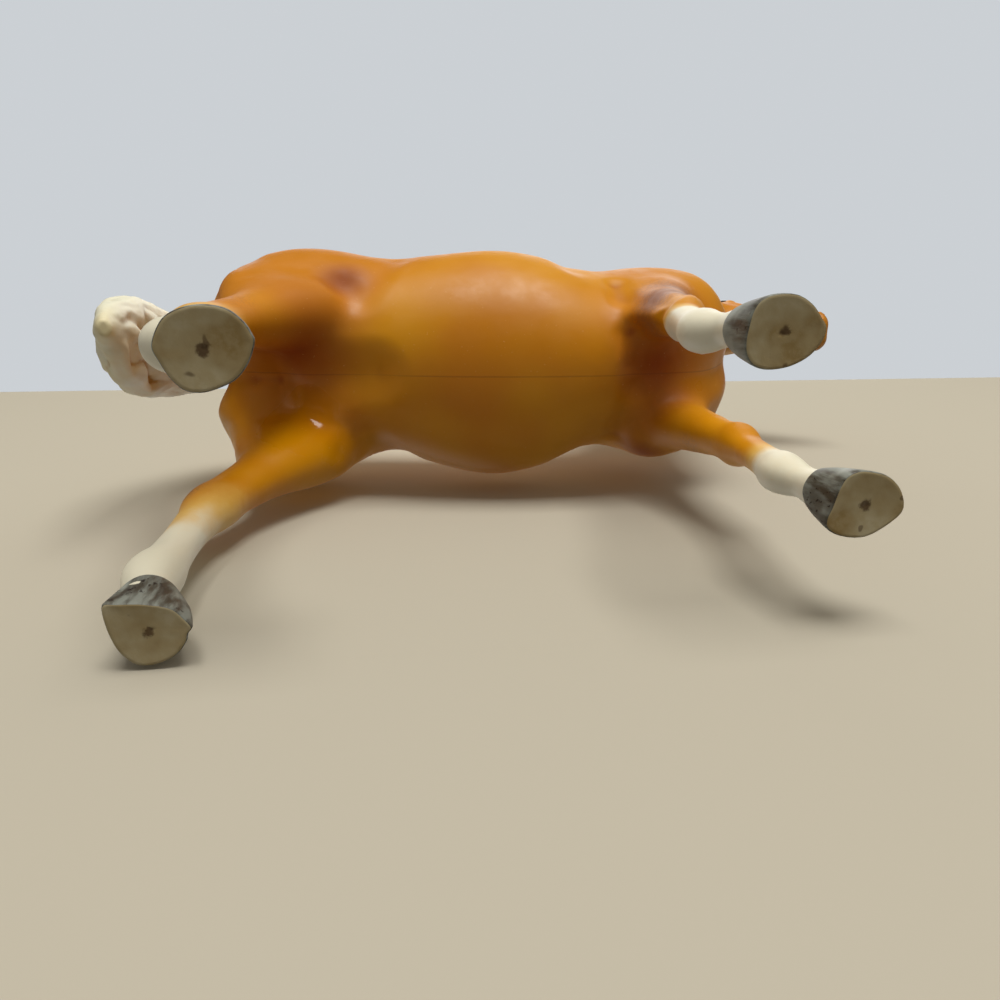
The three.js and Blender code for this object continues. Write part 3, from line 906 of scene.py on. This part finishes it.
hoofPaint = {
    "wall": (134, 136, 124),
    "wallPale": (172, 174, 160),
    "wallDark": (74, 66, 52),
    "chip": (44, 30, 20),
    "sole": (176, 156, 112),
    "solePale": (190, 176, 138),
    "soleWorn": (152, 126, 76),
    "stain": (74, 48, 20),
    "stainRadius": 1.25,
    "streaks": (420, 4, 0.6),
    "streakScale": (1, 1, 0.22),  # long upwards
    "patches": (95, 3),
    "chips": (900, 3),
    "wear": (75, 3, 0.55),
    "grain": (420, 4, 0.6),
    "spots": (330, 1),
}


# Grey paint over amber plastic, streaked upwards and chipped at its edges
def hoofWallMaterial(name):
    material, where = newMaterial(name)
    upright = wired(where.id_data, "ShaderNodeMapping", {"Vector": where, "Scale": hoofPaint["streakScale"]})
    streak = cloudy(upright.outputs["Vector"], *hoofPaint["streaks"])
    patch, fine = (cloudy(where, *hoofPaint[noise]) for noise in ("patches", "chips"))
    colour = blended(mapped(streak, 0.36, 0.62), hoofPaint["wallDark"], hoofPaint["wall"])
    colour = blended(mapped(patch, 0.5, 0.72), colour, hoofPaint["wallPale"])
    colour = blended(mapped(patch, 0.42, 0.3, 0, 0.75), colour, hoofPaint["wallDark"])
    chips = times(mapped(fine, 0.6, 0.66), mapped(patch, 0.5, 0.4))
    colour = blended(chips, colour, hoofPaint["chip"])
    return finished(material, colour, mapped(streak, 0.3, 0.7, 0.36, 0.56), 0.35, (streak, 0.0003, 0.6))


# The sole: worn grey paint, with a brown pit in the middle
def hoofSoleMaterial(name):
    material, where = newMaterial(name)
    broad, grain, spots = (cloudy(where, *hoofPaint[noise]) for noise in ("wear", "grain", "spots"))
    colour = blended(mapped(broad, 0.36, 0.64), hoofPaint["solePale"], hoofPaint["soleWorn"])
    colour = blended(mapped(grain, 0.35, 0.65, 0, 0.6), colour, hoofPaint["sole"])
    away = plus(attribute(where, "fromMiddle"), swing(grain, 4.0))
    pit = mapped(away, hoofPaint["stainRadius"] * 0.35, hoofPaint["stainRadius"], 0.85, 0)
    colour = blended(pit, colour, hoofPaint["stain"])
    colour = blended(mapped(spots, 0.72, 0.78, 0, 0.6), colour, hoofPaint["stain"])
    return finished(material, colour, mapped(grain, 0.3, 0.7, 0.42, 0.6), 0.3, (grain, 0.00015, 0.6))


hairPaint = {
    "light": (240, 235, 206),
    "warm": (232, 216, 166),
    # painted shade: the tan brown in the grooves between the locks
    "grooveShade": (196, 150, 76),
    "broad": (60, 3),
    "fine": (500, 3, 0.6),
}


# Cream paint, with brown shade painted into the grooves between the locks
def hairMaterial(name):
    material, where = newMaterial(name)
    broad, fine = (cloudy(where, *hairPaint[noise]) for noise in ("broad", "fine"))
    colour = blended(mapped(broad, 0.4, 0.7), hairPaint["light"], hairPaint["warm"])
    inGrooveShade = plus(attribute(where, "hollow"), swing(broad, 0.8))
    colour = blended(mapped(inGrooveShade, 0.05, 0.8, 0, 0.9), colour, hairPaint["grooveShade"])
    return finished(material, colour, mapped(fine, 0.3, 0.7, 0.4, 0.55), 0.3, (fine, 0.0002, 0.6))


# Glossy black paint, brown in places
def eyeMaterial(name):
    material, where = newMaterial(name)
    fine = cloudy(where, 700, 2)
    colour = blended(mapped(fine, 0.4, 0.7), (16, 11, 9), (54, 28, 14))
    return finished(material, colour, mapped(fine, 0.3, 0.7, 0.08, 0.16))


coat = coatMaterial("amberCoat")
legCoat = coatMaterial("sockCoat")
hoofWall = hoofWallMaterial("hoofWall")
hoofSole = hoofSoleMaterial("hoofSole")
creamHair = hairMaterial("creamHair")
eyeGloss = eyeMaterial("eyeGloss")
print("materials made")


# Corners and edges are listed in the faces' order, so that each run gives the same mesh
def withoutLegs(work):
    for kind, ahead in (("fore", 1), ("hind", -1)):
        near = [f for f in work.faces if all(v.co.x * ahead > 0 for v in f.verts)]
        corners = dict.fromkeys(v for f in near for v in f.verts)
        edges = dict.fromkeys(e for f in near for e in f.edges)
        trimmed(work, [*corners, *edges, *near], *legForm[kind]["cut"])


# The body in halves, above the legs
for side, name, node in ((1, "body_left", "body_shell_left"), (-1, "body_right", "body_shell_right")):
    half = reworked(cutAway(skin, node, (0, 0, 0), (0, -side, 0)), withoutLegs)
    addPiece(name, dressed(half, placed(half)), [coat], node)
print("body halves cut")


hoofForm = {
    # height at the heel and at the toe
    "heights": {
        "front_left_leg": (9.2, 13),
        "front_right_leg": (9.6, 13),
        "hind_left_leg": (12, 13.2),
        "hind_right_leg": (10, 13.2),
    },
    "ledge": 0.7,  # how far the coronet stands out from the leg
    # x and y round each sole, from its middle, with the mould's corners at heel and toe
    "outlines": {
        "front_left_leg": [
            (-7.0, 0.4), (-5.9, -3.4), (-4.6, -5.6), (-2.2, -6.6), (0.9, -6.3), (3.6, -5.5), (5.6, -4.1),
            (7.0, -2.4), (7.9, -0.2), (7.9, 1.5), (6.7, 3.1), (4.1, 5.0), (1.4, 6.4), (-1.5, 6.7),
            (-5.0, 6.0), (-7.5, 4.4), (-7.8, 2.6),
        ],
        "front_right_leg": [
            (-7.2, -0.9), (-6.6, -3.5), (-5.3, -5.4), (-2.6, -6.4), (1.4, -6.3), (4.4, -4.7), (6.4, -2.4),
            (7.5, -0.7), (7.0, 1.7), (4.9, 4.2), (2.0, 5.8), (-0.9, 6.5), (-3.6, 6.5), (-5.9, 5.6),
            (-7.2, 3.8), (-7.5, 1.6),
        ],
        "hind_left_leg": [
            (-7.1, -5.7), (-4.7, -5.9), (-1.4, -5.8), (0.8, -5.5), (3.1, -5.0), (4.7, -4.2), (6.0, -2.7),
            (7.2, -0.9), (6.4, 0.4), (5.9, 2.0), (3.9, 4.4), (0.9, 5.8), (-2.2, 6.0), (-4.3, 4.6),
            (-5.9, 2.2), (-7.0, -1.8),
        ],
        "hind_right_leg": [
            (-7.9, -0.4), (-6.9, -3.2), (-5.2, -5.3), (-2.2, -6.6), (1.1, -6.9), (4.2, -6.2), (6.4, -4.4),
            (7.5, -2.6), (7.9, -1.0), (6.6, 2.3), (4.5, 4.8), (1.7, 6.2), (-1.0, 6.9), (-3.6, 6.5),
            (-5.6, 4.6), (-7.0, 2.0),
        ],
    },
    # share of the height, size of the outline, and how far it has turned into the coronet's ring
    "stations": [
        [0, 0.965, 0], [0.02, 0.985, 0], [0.06, 1, 0.02], [0.2, 0.995, 0.1], [0.4, 0.985, 0.24],
        [0.6, 0.98, 0.42], [0.76, 0.975, 0.62], [0.88, 0.97, 0.82], [0.96, 0.96, 0.95], [1, 0.93, 1],
        [1.02, 0.84, 1], [1, 0.7, 1],
    ],
    "points": 112,
    "soleShares": (0.92, 0.8, 0.65, 0.5, 0.38, 0.28, 0.2, 0.14, 0.1, 0.07, 0.04),
    "dishDepth": 0.35,  # how hollow the sole is
    "pitDepth": 0.3,  # the mould's mark in its middle
    "pitShare": 0.06,
}


# The wall runs from the sole's outline to a ring round the leg, lower at the heel than at the toe
def hoofOf(leg):
    toe = np.array(legForm["soles"][leg])
    outline = closedSpline(hoofForm["outlines"][leg], hoofForm["points"])
    middle = outline.mean(0)
    angle = np.arctan2(outline[:, 1] - middle[1], outline[:, 0] - middle[0])
    _, front, back, half = kindOf(leg)["stations"][0]
    lengthwise = np.where(np.cos(angle) > 0, front, back) * kindOf(leg)["cannon"] + hoofForm["ledge"]
    sideways = half * kindOf(leg)["cannon"] + hoofForm["ledge"]
    coronet = legMiddle(leg, 0)[:2] - toe
    ring = coronet + np.stack([np.cos(angle) * lengthwise, np.sin(angle) * sideways], 1)
    share = (outline[:, 0] - outline[:, 0].min()) / np.ptp(outline[:, 0])
    heelHeight, toeHeight = hoofForm["heights"][leg]
    height = heelHeight + (toeHeight - heelHeight) * share
    rings = []
    for rise, size, turned in hoofForm["stations"]:
        centre = (1 - turned) * middle + turned * coronet
        shape = (1 - turned) * outline + turned * ring
        rings.append(np.column_stack([toe + centre + (shape - centre) * size, rise * height]))
    sole = [rings[0]]
    for inward in hoofForm["soleShares"]:
        inner = rings[0].mean(0) + (rings[0] - rings[0].mean(0)) * inward
        pit = hoofForm["pitDepth"] * math.exp(-(inward / hoofForm["pitShare"]) ** 2)
        inner[:, 2] = hoofForm["dishDepth"] * (1 - inward ** 2) + pit
        sole.insert(0, inner)
    points, faces = loft([*sole, *rings[1:]])
    wallStart = len(outline) * (len(sole) - 1)
    return points, faces, [2 if min(face) < wallStart else 1 for face in faces]


# Parts without airbrushing or painted shade carry those attributes too
def unpainted(mesh, offSeam):
    for name in ("sock", "cloud", "hollow", "polish"):
        addAttribute(mesh, name, np.zeros(len(mesh.vertices)))
    addAttribute(mesh, "seam", np.full(len(mesh.vertices), offSeam))


# One mesh of the leg and its hoof, with the paint's attributes on both
def legPiece(leg):
    point, down = kindOf(leg)["cut"]
    mesh = cutAway(skin, leg, point, tuple(-c for c in down))
    mesh = keepIsland(mesh, legForm["joints"][leg][2])
    materials = [legCoat, hoofWall, hoofSole]
    limb = addPiece(leg + "_limb", dressed(mesh, placed(mesh)), materials, leg)
    points, faces, slots = hoofOf(leg)
    hoof = meshOf(leg + "_hoof", [(points, faces)])
    unpainted(hoof.data, 0.0)
    fromMiddle = np.linalg.norm(points[:, :2] - np.array(legForm["soles"][leg]), axis=1)
    addAttribute(hoof.data, "fromMiddle", fromMiddle)
    placed(hoof.data)
    for material in materials:
        hoof.data.materials.append(material)
    hoof.data.polygons.foreach_set("material_index", slots)
    hoof.data.shade_smooth()
    with bpy.context.temp_override(active_object=limb, selected_editable_objects=[limb, hoof]):
        bpy.ops.object.join()


for leg in legForm["joints"]:
    legPiece(leg)
print("legs made")


# Hair: locks run along guide lines, full in the middle and fine at their tips
hairForm = {
    "sides": 12,
    "fullness": 1.0,
    "voxel": 0.5,
    "relax": 5,
    # painted shade: passes of smoothing that find the grooves, and their full depth
    "hollows": (16, 0.45),
    "seed": 7,
}


def hairLocks():
    tree = bpy.data.node_groups.new("hairLocks", "GeometryNodeTree")
    named = {}
    for name, way, kind in (("Guides", "INPUT", "Geometry"), ("Sides", "INPUT", "Int"),
                            ("Fullness", "INPUT", "Float"), ("Paint", "INPUT", "Material"),
                            ("Locks", "OUTPUT", "Geometry")):
        named[name] = tree.interface.new_socket(name, in_out=way, socket_type="NodeSocket" + kind).identifier
    given = wired(tree, "NodeGroupInput").outputs
    curves = wired(tree, "GeometryNodeMeshToCurve", {"Mesh": given["Guides"]})
    thickness = wired(tree, "GeometryNodeInputNamedAttribute", {"Name": "thickness"}, data_type="FLOAT")
    section = wired(tree, "GeometryNodeCurvePrimitiveCircle", {"Radius": 1, "Resolution": given["Sides"]})
    swept = wired(tree, "GeometryNodeCurveToMesh", {
        "Curve": curves.outputs["Curve"],
        "Profile Curve": section.outputs["Curve"],
        "Scale": times(thickness.outputs["Attribute"], given["Fullness"]),
        "Fill Caps": True,
    })
    realized = wired(tree, "GeometryNodeRealizeInstances", {0: swept.outputs["Mesh"]}).outputs[0]
    dyed = wired(tree, "GeometryNodeSetMaterial", {"Geometry": realized, "Material": given["Paint"]})
    wired(tree, "NodeGroupOutput", {0: dyed.outputs["Geometry"]})
    return tree, [named[name] for name in ("Sides", "Fullness", "Paint")]


hairTree, hairSockets = hairLocks()


# Each guide is rows of x, y, z and thickness. The locks come back as closed forms in millimetres.
def locksAlong(guides):
    rows = np.concatenate(guides)
    starts = set(np.cumsum([len(guide) for guide in guides]).tolist())
    edges = [(k - 1, k) for k in range(1, len(rows)) if k not in starts]
    mesh = bpy.data.meshes.new("guides")
    mesh.from_pydata(rows[:, :3] * millimetre, edges, [])
    addAttribute(mesh, "thickness", rows[:, 3] * millimetre)
    thing = linked("guides", mesh)
    grown = thing.modifiers.new("locks", "NODES")
    grown.node_group = hairTree
    for socket, value in zip(hairSockets, (hairForm["sides"], hairForm["fullness"], creamHair)):
        grown[socket] = value
    made = plainMesh(thing)
    return pointsOf(made), [tuple(face.vertices) for face in made.polygons]


def hairPiece(name, node, core, guides):
    mesh = fused(name, [*core, locksAlong(guides)], hairForm["voxel"])
    points = relaxed(mesh, pointsOf(mesh), hairForm["relax"], np.ones(len(mesh.vertices)))
    setPoints(mesh, points)
    # painted shade: how hollow the hair is sets the brown in its grooves
    addAttribute(mesh, "hollow", hollowness(mesh, points, *hairForm["hollows"]))
    placed(mesh)
    mesh.shade_smooth()
    addPiece(name, mesh, [creamHair], node)
    print(name, len(mesh.polygons), "faces")


tailForm = {
    "drop": 96,
    "width": 26,
    "depth": 15,
    "dock": (-84, 0, 158.4),
    # back from the dock, aside, drop, half width, half depth
    "stations": [
        [-0.03, 0, -0.02, 0.16, 0.3],
        [0.04, -0.02, 0.05, 0.26, 0.4],
        [0.105, -0.1, 0.17, 0.4, 0.46],
        [0.18, -0.23, 0.36, 0.5, 0.5],
        [0.193, -0.35, 0.56, 0.52, 0.5],
        [0.155, -0.47, 0.76, 0.4, 0.4],
        [0.12, -0.57, 0.92, 0.24, 0.27],
        [0.1, -0.6, 1, 0.09, 0.12],
    ],
    "core": 0.8,
    "locks": 15,
    "ends": (0.74, 1),  # where along the tail the locks end
    "lockThickness": 2.7,
    "fullness": (0.55, 0.75),  # of a lock's ends, and what its middle has more
    "twist": 0.7,
    "wave": 0.3,
    "waves": 1.6,
    "flare": 0.1,
    "closing": 0.45,  # how far the tips turn inwards
    "lumps": 0.5,  # swellings along a lock
    "lumpCount": 5.5,
}


def tailSections():
    rows = splined(tailForm["stations"], 6)
    drop, width = tailForm["drop"], tailForm["width"]
    centres = np.array(tailForm["dock"]) + rows[:, :3] * (-drop, width, -drop)
    ups = np.cross(np.gradient(centres, axis=0), across)
    ups /= np.linalg.norm(ups, axis=1)[:, None]
    return list(zip(centres, ups, rows[:, 3] * width, rows[:, 4] * tailForm["depth"]))


def tailGuides():
    sections = tailSections()
    draws = np.random.default_rng(hairForm["seed"])
    last = len(sections) - 1
    thin, swell = tailForm["fullness"]
    guides = []
    for k in range(tailForm["locks"]):
        phase, end = draws.uniform(0, 2 * math.pi), draws.uniform(*tailForm["ends"])
        around = 2 * math.pi * (k + draws.uniform(-0.2, 0.2)) / tailForm["locks"]
        guide = []
        for i in range(int(end * last) + 1):
            centre, up, halfWidth, halfDepth = sections[i]
            share = i / last
            done = min(1, share / end)
            wave = tailForm["wave"] * math.sin(2 * math.pi * tailForm["waves"] * share + phase)
            angle = around + tailForm["twist"] * share + wave * min(1, share * 3)
            thickness = tailForm["lockThickness"] * (thin + swell * math.sin(math.pi * done ** 0.8))
            thickness *= 1 + tailForm["lumps"] * math.sin(2 * math.pi * tailForm["lumpCount"] * share + phase)
            thickness *= min(1, (end - share) * 6 + 0.3) * min(1, halfWidth / 8)
            flare = 1 + tailForm["flare"] * math.sin(math.pi * done)
            sunk = 1 - tailForm["closing"] * done ** 9
            wide, deep = (max(half * flare * sunk - thickness, 0.3) for half in (halfWidth, halfDepth))
            point = centre + across * math.cos(angle) * wide + up * math.sin(angle) * deep
            guide.append((*point, max(thickness, 0.6)))
        guides.append(guide)
    return guides


def tailCore():
    share = tailForm["core"]
    return loft([ovalRing(centre, across, up, wide * share, deep * share, deep * share, 40)
                 for centre, up, wide, deep in tailSections()])


hairPiece("tail_hair", "tail", [tailCore()], tailGuides())

maneForm = {
    "lift": 1.1,  # of a lock's middle over the neck
    "lockThickness": 2.3,
    "crestAngle": 78,  # where the locks begin, round the neck: 90 is the crest, 180 the right side
    "locksPerTip": 5,
    "spread": 0.2,  # along the neck, of the locks that meet in one tip
    "tipSpread": 0.075,
    "sweep": 0.1,  # how far back along the neck a lock falls
    "ragged": 0.06,  # how unevenly the tips end
    "fullness": (0.75, 0.35),  # of a lock's ends, and what its middle has more
    "arch": 0.6,
    "steps": 22,
    # share along the neck, and height of the tip from throat to crest
    "tips": [[0.22, 0.66], [0.37, 0.5], [0.53, 0.4], [0.7, 0.34], [0.86, 0.38], [0.98, 0.5]],
    "coreEdge": [[0.19, 0.96], [0.27, 0.94], [0.41, 0.92], [0.57, 0.9], [0.75, 0.9], [0.99, 0.9]],
    # over the poll and down the forehead: aside at the crest and at the tip, and how far down the head
    "foreLocks": [(-3, -2.4, 0.3), (-1.2, -0.4, 0.38), (0.8, 1.2, 0.33), (2.6, 3.4, 0.25)],
    "foreThickness": 1.9,
}
maneRows = splined(neckForm["stations"], 12)


def neckSkin(along, degrees, lift):
    row = maneRows[min(max(int(round(along * (len(maneRows) - 1))), 0), len(maneRows) - 1)]
    middle, up, reach, half = neckSection(row)
    angle = math.radians(degrees)
    return middle + across * math.cos(angle) * (half + lift) + up * math.sin(angle) * (reach + lift)


def angleOf(rise):
    return 180 - math.degrees(math.asin(2 * rise - 1))


def maneGuides():
    draws = np.random.default_rng(hairForm["seed"] + 1)
    crest, steps = maneForm["crestAngle"], maneForm["steps"]
    thin, swell = maneForm["fullness"]
    guides = []
    for tipAlong, tipRise in maneForm["tips"]:
        for k in range(maneForm["locksPerTip"]):
            offset = (k + 0.5) / maneForm["locksPerTip"] * 2 - 1
            start = tipAlong + maneForm["sweep"] + offset * maneForm["spread"] / 2
            end = tipAlong + offset * maneForm["tipSpread"] / 2 + draws.uniform(-0.01, 0.01)
            lowest = angleOf(tipRise + abs(offset) * 0.1 + draws.uniform(0, maneForm["ragged"]))
            phase, fullness = draws.uniform(-0.6, 0.6), draws.uniform(0.8, 1.15)
            guide = []
            for i in range(steps + 1):
                share = i / steps
                arch = math.sin(math.pi * share)
                along = start + (end - start) * share ** 1.2 + 0.02 * math.sin(2 * math.pi * share + phase)
                lift = maneForm["lift"] + maneForm["arch"] * arch
                point = neckSkin(min(max(along, 0.03), 1.0), crest + (lowest - crest) * share, lift)
                thickness = maneForm["lockThickness"] * fullness * (thin + swell * arch)
                guide.append((*point, thickness * min(1, (1 - share) * 2.4 + 0.2)))
            smooth = np.array(guide)
            for _ in range(3):
                smooth[1:-1] = (smooth[:-2] + 2 * smooth[1:-1] + smooth[2:]) / 4
            guides.append(smooth)
    for aside, tipAside, down in maneForm["foreLocks"]:
        run = [
            (neckSkin(0.84, 90, -0.5), aside, 1),
            (neckSkin(0.94, 90, 0.6), aside, 1.15),
            (headPoint(-0.06, 0.2), aside, 1.15),
            (headPoint(0.03, 0.33), aside, 1.1),
            (headPoint(0.5 * down + 0.03, 0.39), (aside + tipAside) / 2, 1),
            (headPoint(0.8 * down, 0.4), tipAside, 0.7),
            (headPoint(down, 0.385), tipAside, 0.2),
        ]
        rows = [(*(place + across * out), maneForm["foreThickness"] * share) for place, out, share in run]
        guides.append(splined(rows, 6))
    return guides


# The hair's ground: a thin leaf on the crest and the right side of the neck
def maneCore():
    rings = []
    for along, rise in splined(maneForm["coreEdge"], 8):
        angles = np.linspace(maneForm["crestAngle"] + 3, angleOf(min(rise, 0.98)), 14)
        outer = [neckSkin(along, angle, 1.4) for angle in angles]
        inner = [neckSkin(along, angle, -1.5) for angle in angles[::-1]]
        rings.append(np.array(outer + inner))
    return loft(rings)


hairPiece("mane_hair", "mane", [maneCore()], maneGuides())

# Eyes: a glossy ball sunk in the socket, under a painted lid
eyeForm = {
    "along": 0.27,
    "rise": 0.17,
    "ball": (3.1, 1.7, 2.3),
    "sink": 0.45,
    "lid": (3.7, 1.5, 1.4),
    "lidUp": 2.2,
    "leans": (12, 8),  # of the ball and the lid, against the head
    "offSeam": 9.0,
}


def eyePiece(name, side):
    start = headPoint(eyeForm["along"], eyeForm["rise"]) + across * side * rayForm["besideFace"]
    seat = struck(treeOf(skin), start, (0, -side, 0)) - across * side * eyeForm["sink"]
    ballLean, lidLean = (headForm["angle"] + lean for lean in eyeForm["leans"])
    ball = egg(seat, eyeForm["ball"], ballLean)
    lid = egg(seat + headUp * eyeForm["lidUp"], eyeForm["lid"], lidLean)
    thing = meshOf(name, [ball, lid])
    mesh = thing.data
    bpy.data.objects.remove(thing)
    unpainted(mesh, eyeForm["offSeam"])
    reworked(mesh, lambda work: bmesh.ops.recalc_face_normals(work, faces=work.faces))
    placed(mesh)
    mesh.shade_smooth()
    addPiece(name, mesh, [eyeGloss, coat])
    mesh.polygons.foreach_set("material_index", [0] * len(ball[1]) + [1] * len(lid[1]))


eyePiece("eye_left", 1)
eyePiece("eye_right", -1)
print("hair and eyes made")


worldForm = {
    "room": 0.262,  # light from all round, and how it grows to the right and upwards
    "toRight": 0.13,
    "upwards": 0.05,
    "roomColour": (1.0, 0.96, 0.9),
    "backdrop": (0.60, 0.63, 0.66),
    "mirrored": (0.06, 0.14),  # how bright the backdrop is in the gloss, below and above
}
# Stage: the figure stands on a pale floor, and in the photograph it lies on its left side on a table
stageForm = {
    "floorSize": 8,
    "tableAside": 0.0406,  # from the seam, where the figure's left side lies on the table
    "tableBelow": 1.2,
    "tableAbove": 0.44,
    "floorColour": (226, 226, 224),
    "floorNear": 0.35,  # where the floor begins to run into the backdrop, and where it has
    "floorFar": 1.6,
    "tableColour": (188, 180, 161),
}


def shared(factor, first, second):
    return wired(factor.id_data, "ShaderNodeMixShader", {0: factor, 1: first, 2: second}).outputs["Shader"]


# A cove: far from the figure the floor has the backdrop's own light
def coved(where, solid):
    cove = wired(where.id_data, "ShaderNodeEmission", {"Color": (*worldForm["backdrop"], 1)})
    away = wired(where.id_data, "ShaderNodeVectorMath", {0: where}, operation="LENGTH").outputs["Value"]
    far = mapped(away, stageForm["floorNear"], stageForm["floorFar"])
    return shared(far, solid, cove.outputs["Emission"])


# Seen from one side only, and the far half of the table only through the floor
def stageMaterial(name, colour, table=False, throughFloor=False):
    material, where = newMaterial(name)
    tree = material.node_tree
    rays = wired(tree, "ShaderNodeLightPath").outputs
    looking = rays["Is Camera Ray"]
    if table:
        looking = computed("MAXIMUM", looking, rays["Is Glossy Ray"])
    behind = wired(tree, "ShaderNodeNewGeometry").outputs["Backfacing"]
    shown = times(looking, computed("SUBTRACT", 1.0, behind))
    if throughFloor:
        shown = times(shown, computed("GREATER_THAN", rays["Transparent Depth"], 0.5))
    clear = wired(tree, "ShaderNodeBsdfTransparent").outputs["BSDF"]
    solid = wired(tree, "ShaderNodeBsdfDiffuse", {"Color": colour}).outputs["BSDF"]
    if not table:
        solid = coved(where, solid)
    wired(tree, "ShaderNodeOutputMaterial", {"Surface": shared(shown, clear, solid)})
    return material


def stagePlane(name, corners, material):
    mesh = bpy.data.meshes.new(name)
    mesh.from_pydata(corners, [], [(0, 1, 2, 3)])
    mesh.materials.append(material)
    linked(name, mesh)


size = stageForm["floorSize"]
stagePlane("floor", [(-size, -size, 0), (size, -size, 0), (size, size, 0), (-size, size, 0)],
           stageMaterial("paleFloor", stageForm["floorColour"]))
tableY = bodyCentre.y + stageForm["tableAside"]
for name, low, high, throughFloor in (("Near", -stageForm["tableBelow"], 0, False),
                                      ("Far", 0, stageForm["tableAbove"], True)):
    corners = [(-size, tableY, low), (size, tableY, low), (size, tableY, high), (-size, tableY, high)]
    stagePlane("table" + name, corners,
               stageMaterial("paleTable" + name, stageForm["tableColour"], True, throughFloor))

# Light: a large soft window from the photograph's upper side, two weaker fills and a pale room
lightForm = {
    "window": ((0.09, -1.79, -0.1), (1.15, 0.92), 28),
    "ceiling": ((0.15, -0.05, 0.95), (0.9, 0.9), 3.4),
    "leftFill": ((-0.25, 0.5, 0.85), (0.7, 0.7), 1.8),
}
lightTarget = (0, 0, 0.12)
for name, (place, extent, power) in lightForm.items():
    lamp = bpy.data.lights.new(name, "AREA")
    lamp.shape = "RECTANGLE"
    lamp.size, lamp.size_y = extent
    lamp.energy = power
    made = linked(name, lamp)
    made.location = place
    made.rotation_mode = "QUATERNION"
    made.rotation_quaternion = (Vector(lightTarget) - Vector(place)).to_track_quat("-Z", "Y")

world = bpy.data.worlds.new("room")
bpy.context.scene.world = world
world.use_nodes = True
tree = world.node_tree
tree.nodes.clear()
way = wired(tree, "ShaderNodeTexCoord").outputs["Generated"]
parts = wired(tree, "ShaderNodeSeparateXYZ", {0: way}).outputs
glow = times(parts["Y"], -worldForm["toRight"])
glow = plus(glow, times(parts["Z"], worldForm["upwards"]))
glow = plus(glow, worldForm["room"])
room = wired(tree, "ShaderNodeBackground", {"Color": (*worldForm["roomColour"], 1), "Strength": glow})
rays = wired(tree, "ShaderNodeLightPath").outputs
lit = mapped(parts["Z"], -0.5, 0.1, *worldForm["mirrored"])
lit = computed("MAXIMUM", lit, rays["Is Camera Ray"])
backdrop = wired(tree, "ShaderNodeBackground", {"Color": (*worldForm["backdrop"], 1), "Strength": lit})
seen = computed("MAXIMUM", rays["Is Glossy Ray"], rays["Is Transmission Ray"])
seen = computed("MAXIMUM", rays["Is Camera Ray"], seen)
wired(tree, "ShaderNodeOutputWorld", {"Surface": shared(seen, room.outputs[0], backdrop.outputs[0])})

# The camera looks up at the soles, with the photograph's upper side towards the horse's right
cameraForm = {
    "fromCentre": (-0.0251, -0.0215, -0.121),
    "right": (0.99120, 0, -0.13240),
    "up": (0.03502, -0.96439, 0.26215),
    "back": (-0.12768, -0.26447, -0.95590),
    "lens": 26,
    "sensor": 36,
    "clipStart": 0.005,
}
cameraData = bpy.data.cameras.new("camera")
cameraData.lens = cameraForm["lens"]
cameraData.sensor_width = cameraForm["sensor"]
cameraData.clip_start = cameraForm["clipStart"]
camera = linked("camera", cameraData)
turn = Matrix([cameraForm["right"], cameraForm["up"], cameraForm["back"]]).transposed()
camera.matrix_world = Matrix.Translation(bodyCentre + Vector(cameraForm["fromCentre"])) @ turn.to_4x4()
bpy.context.scene.camera = camera
bpy.context.scene.view_settings.view_transform = "Standard"
print("stage, light and camera set")
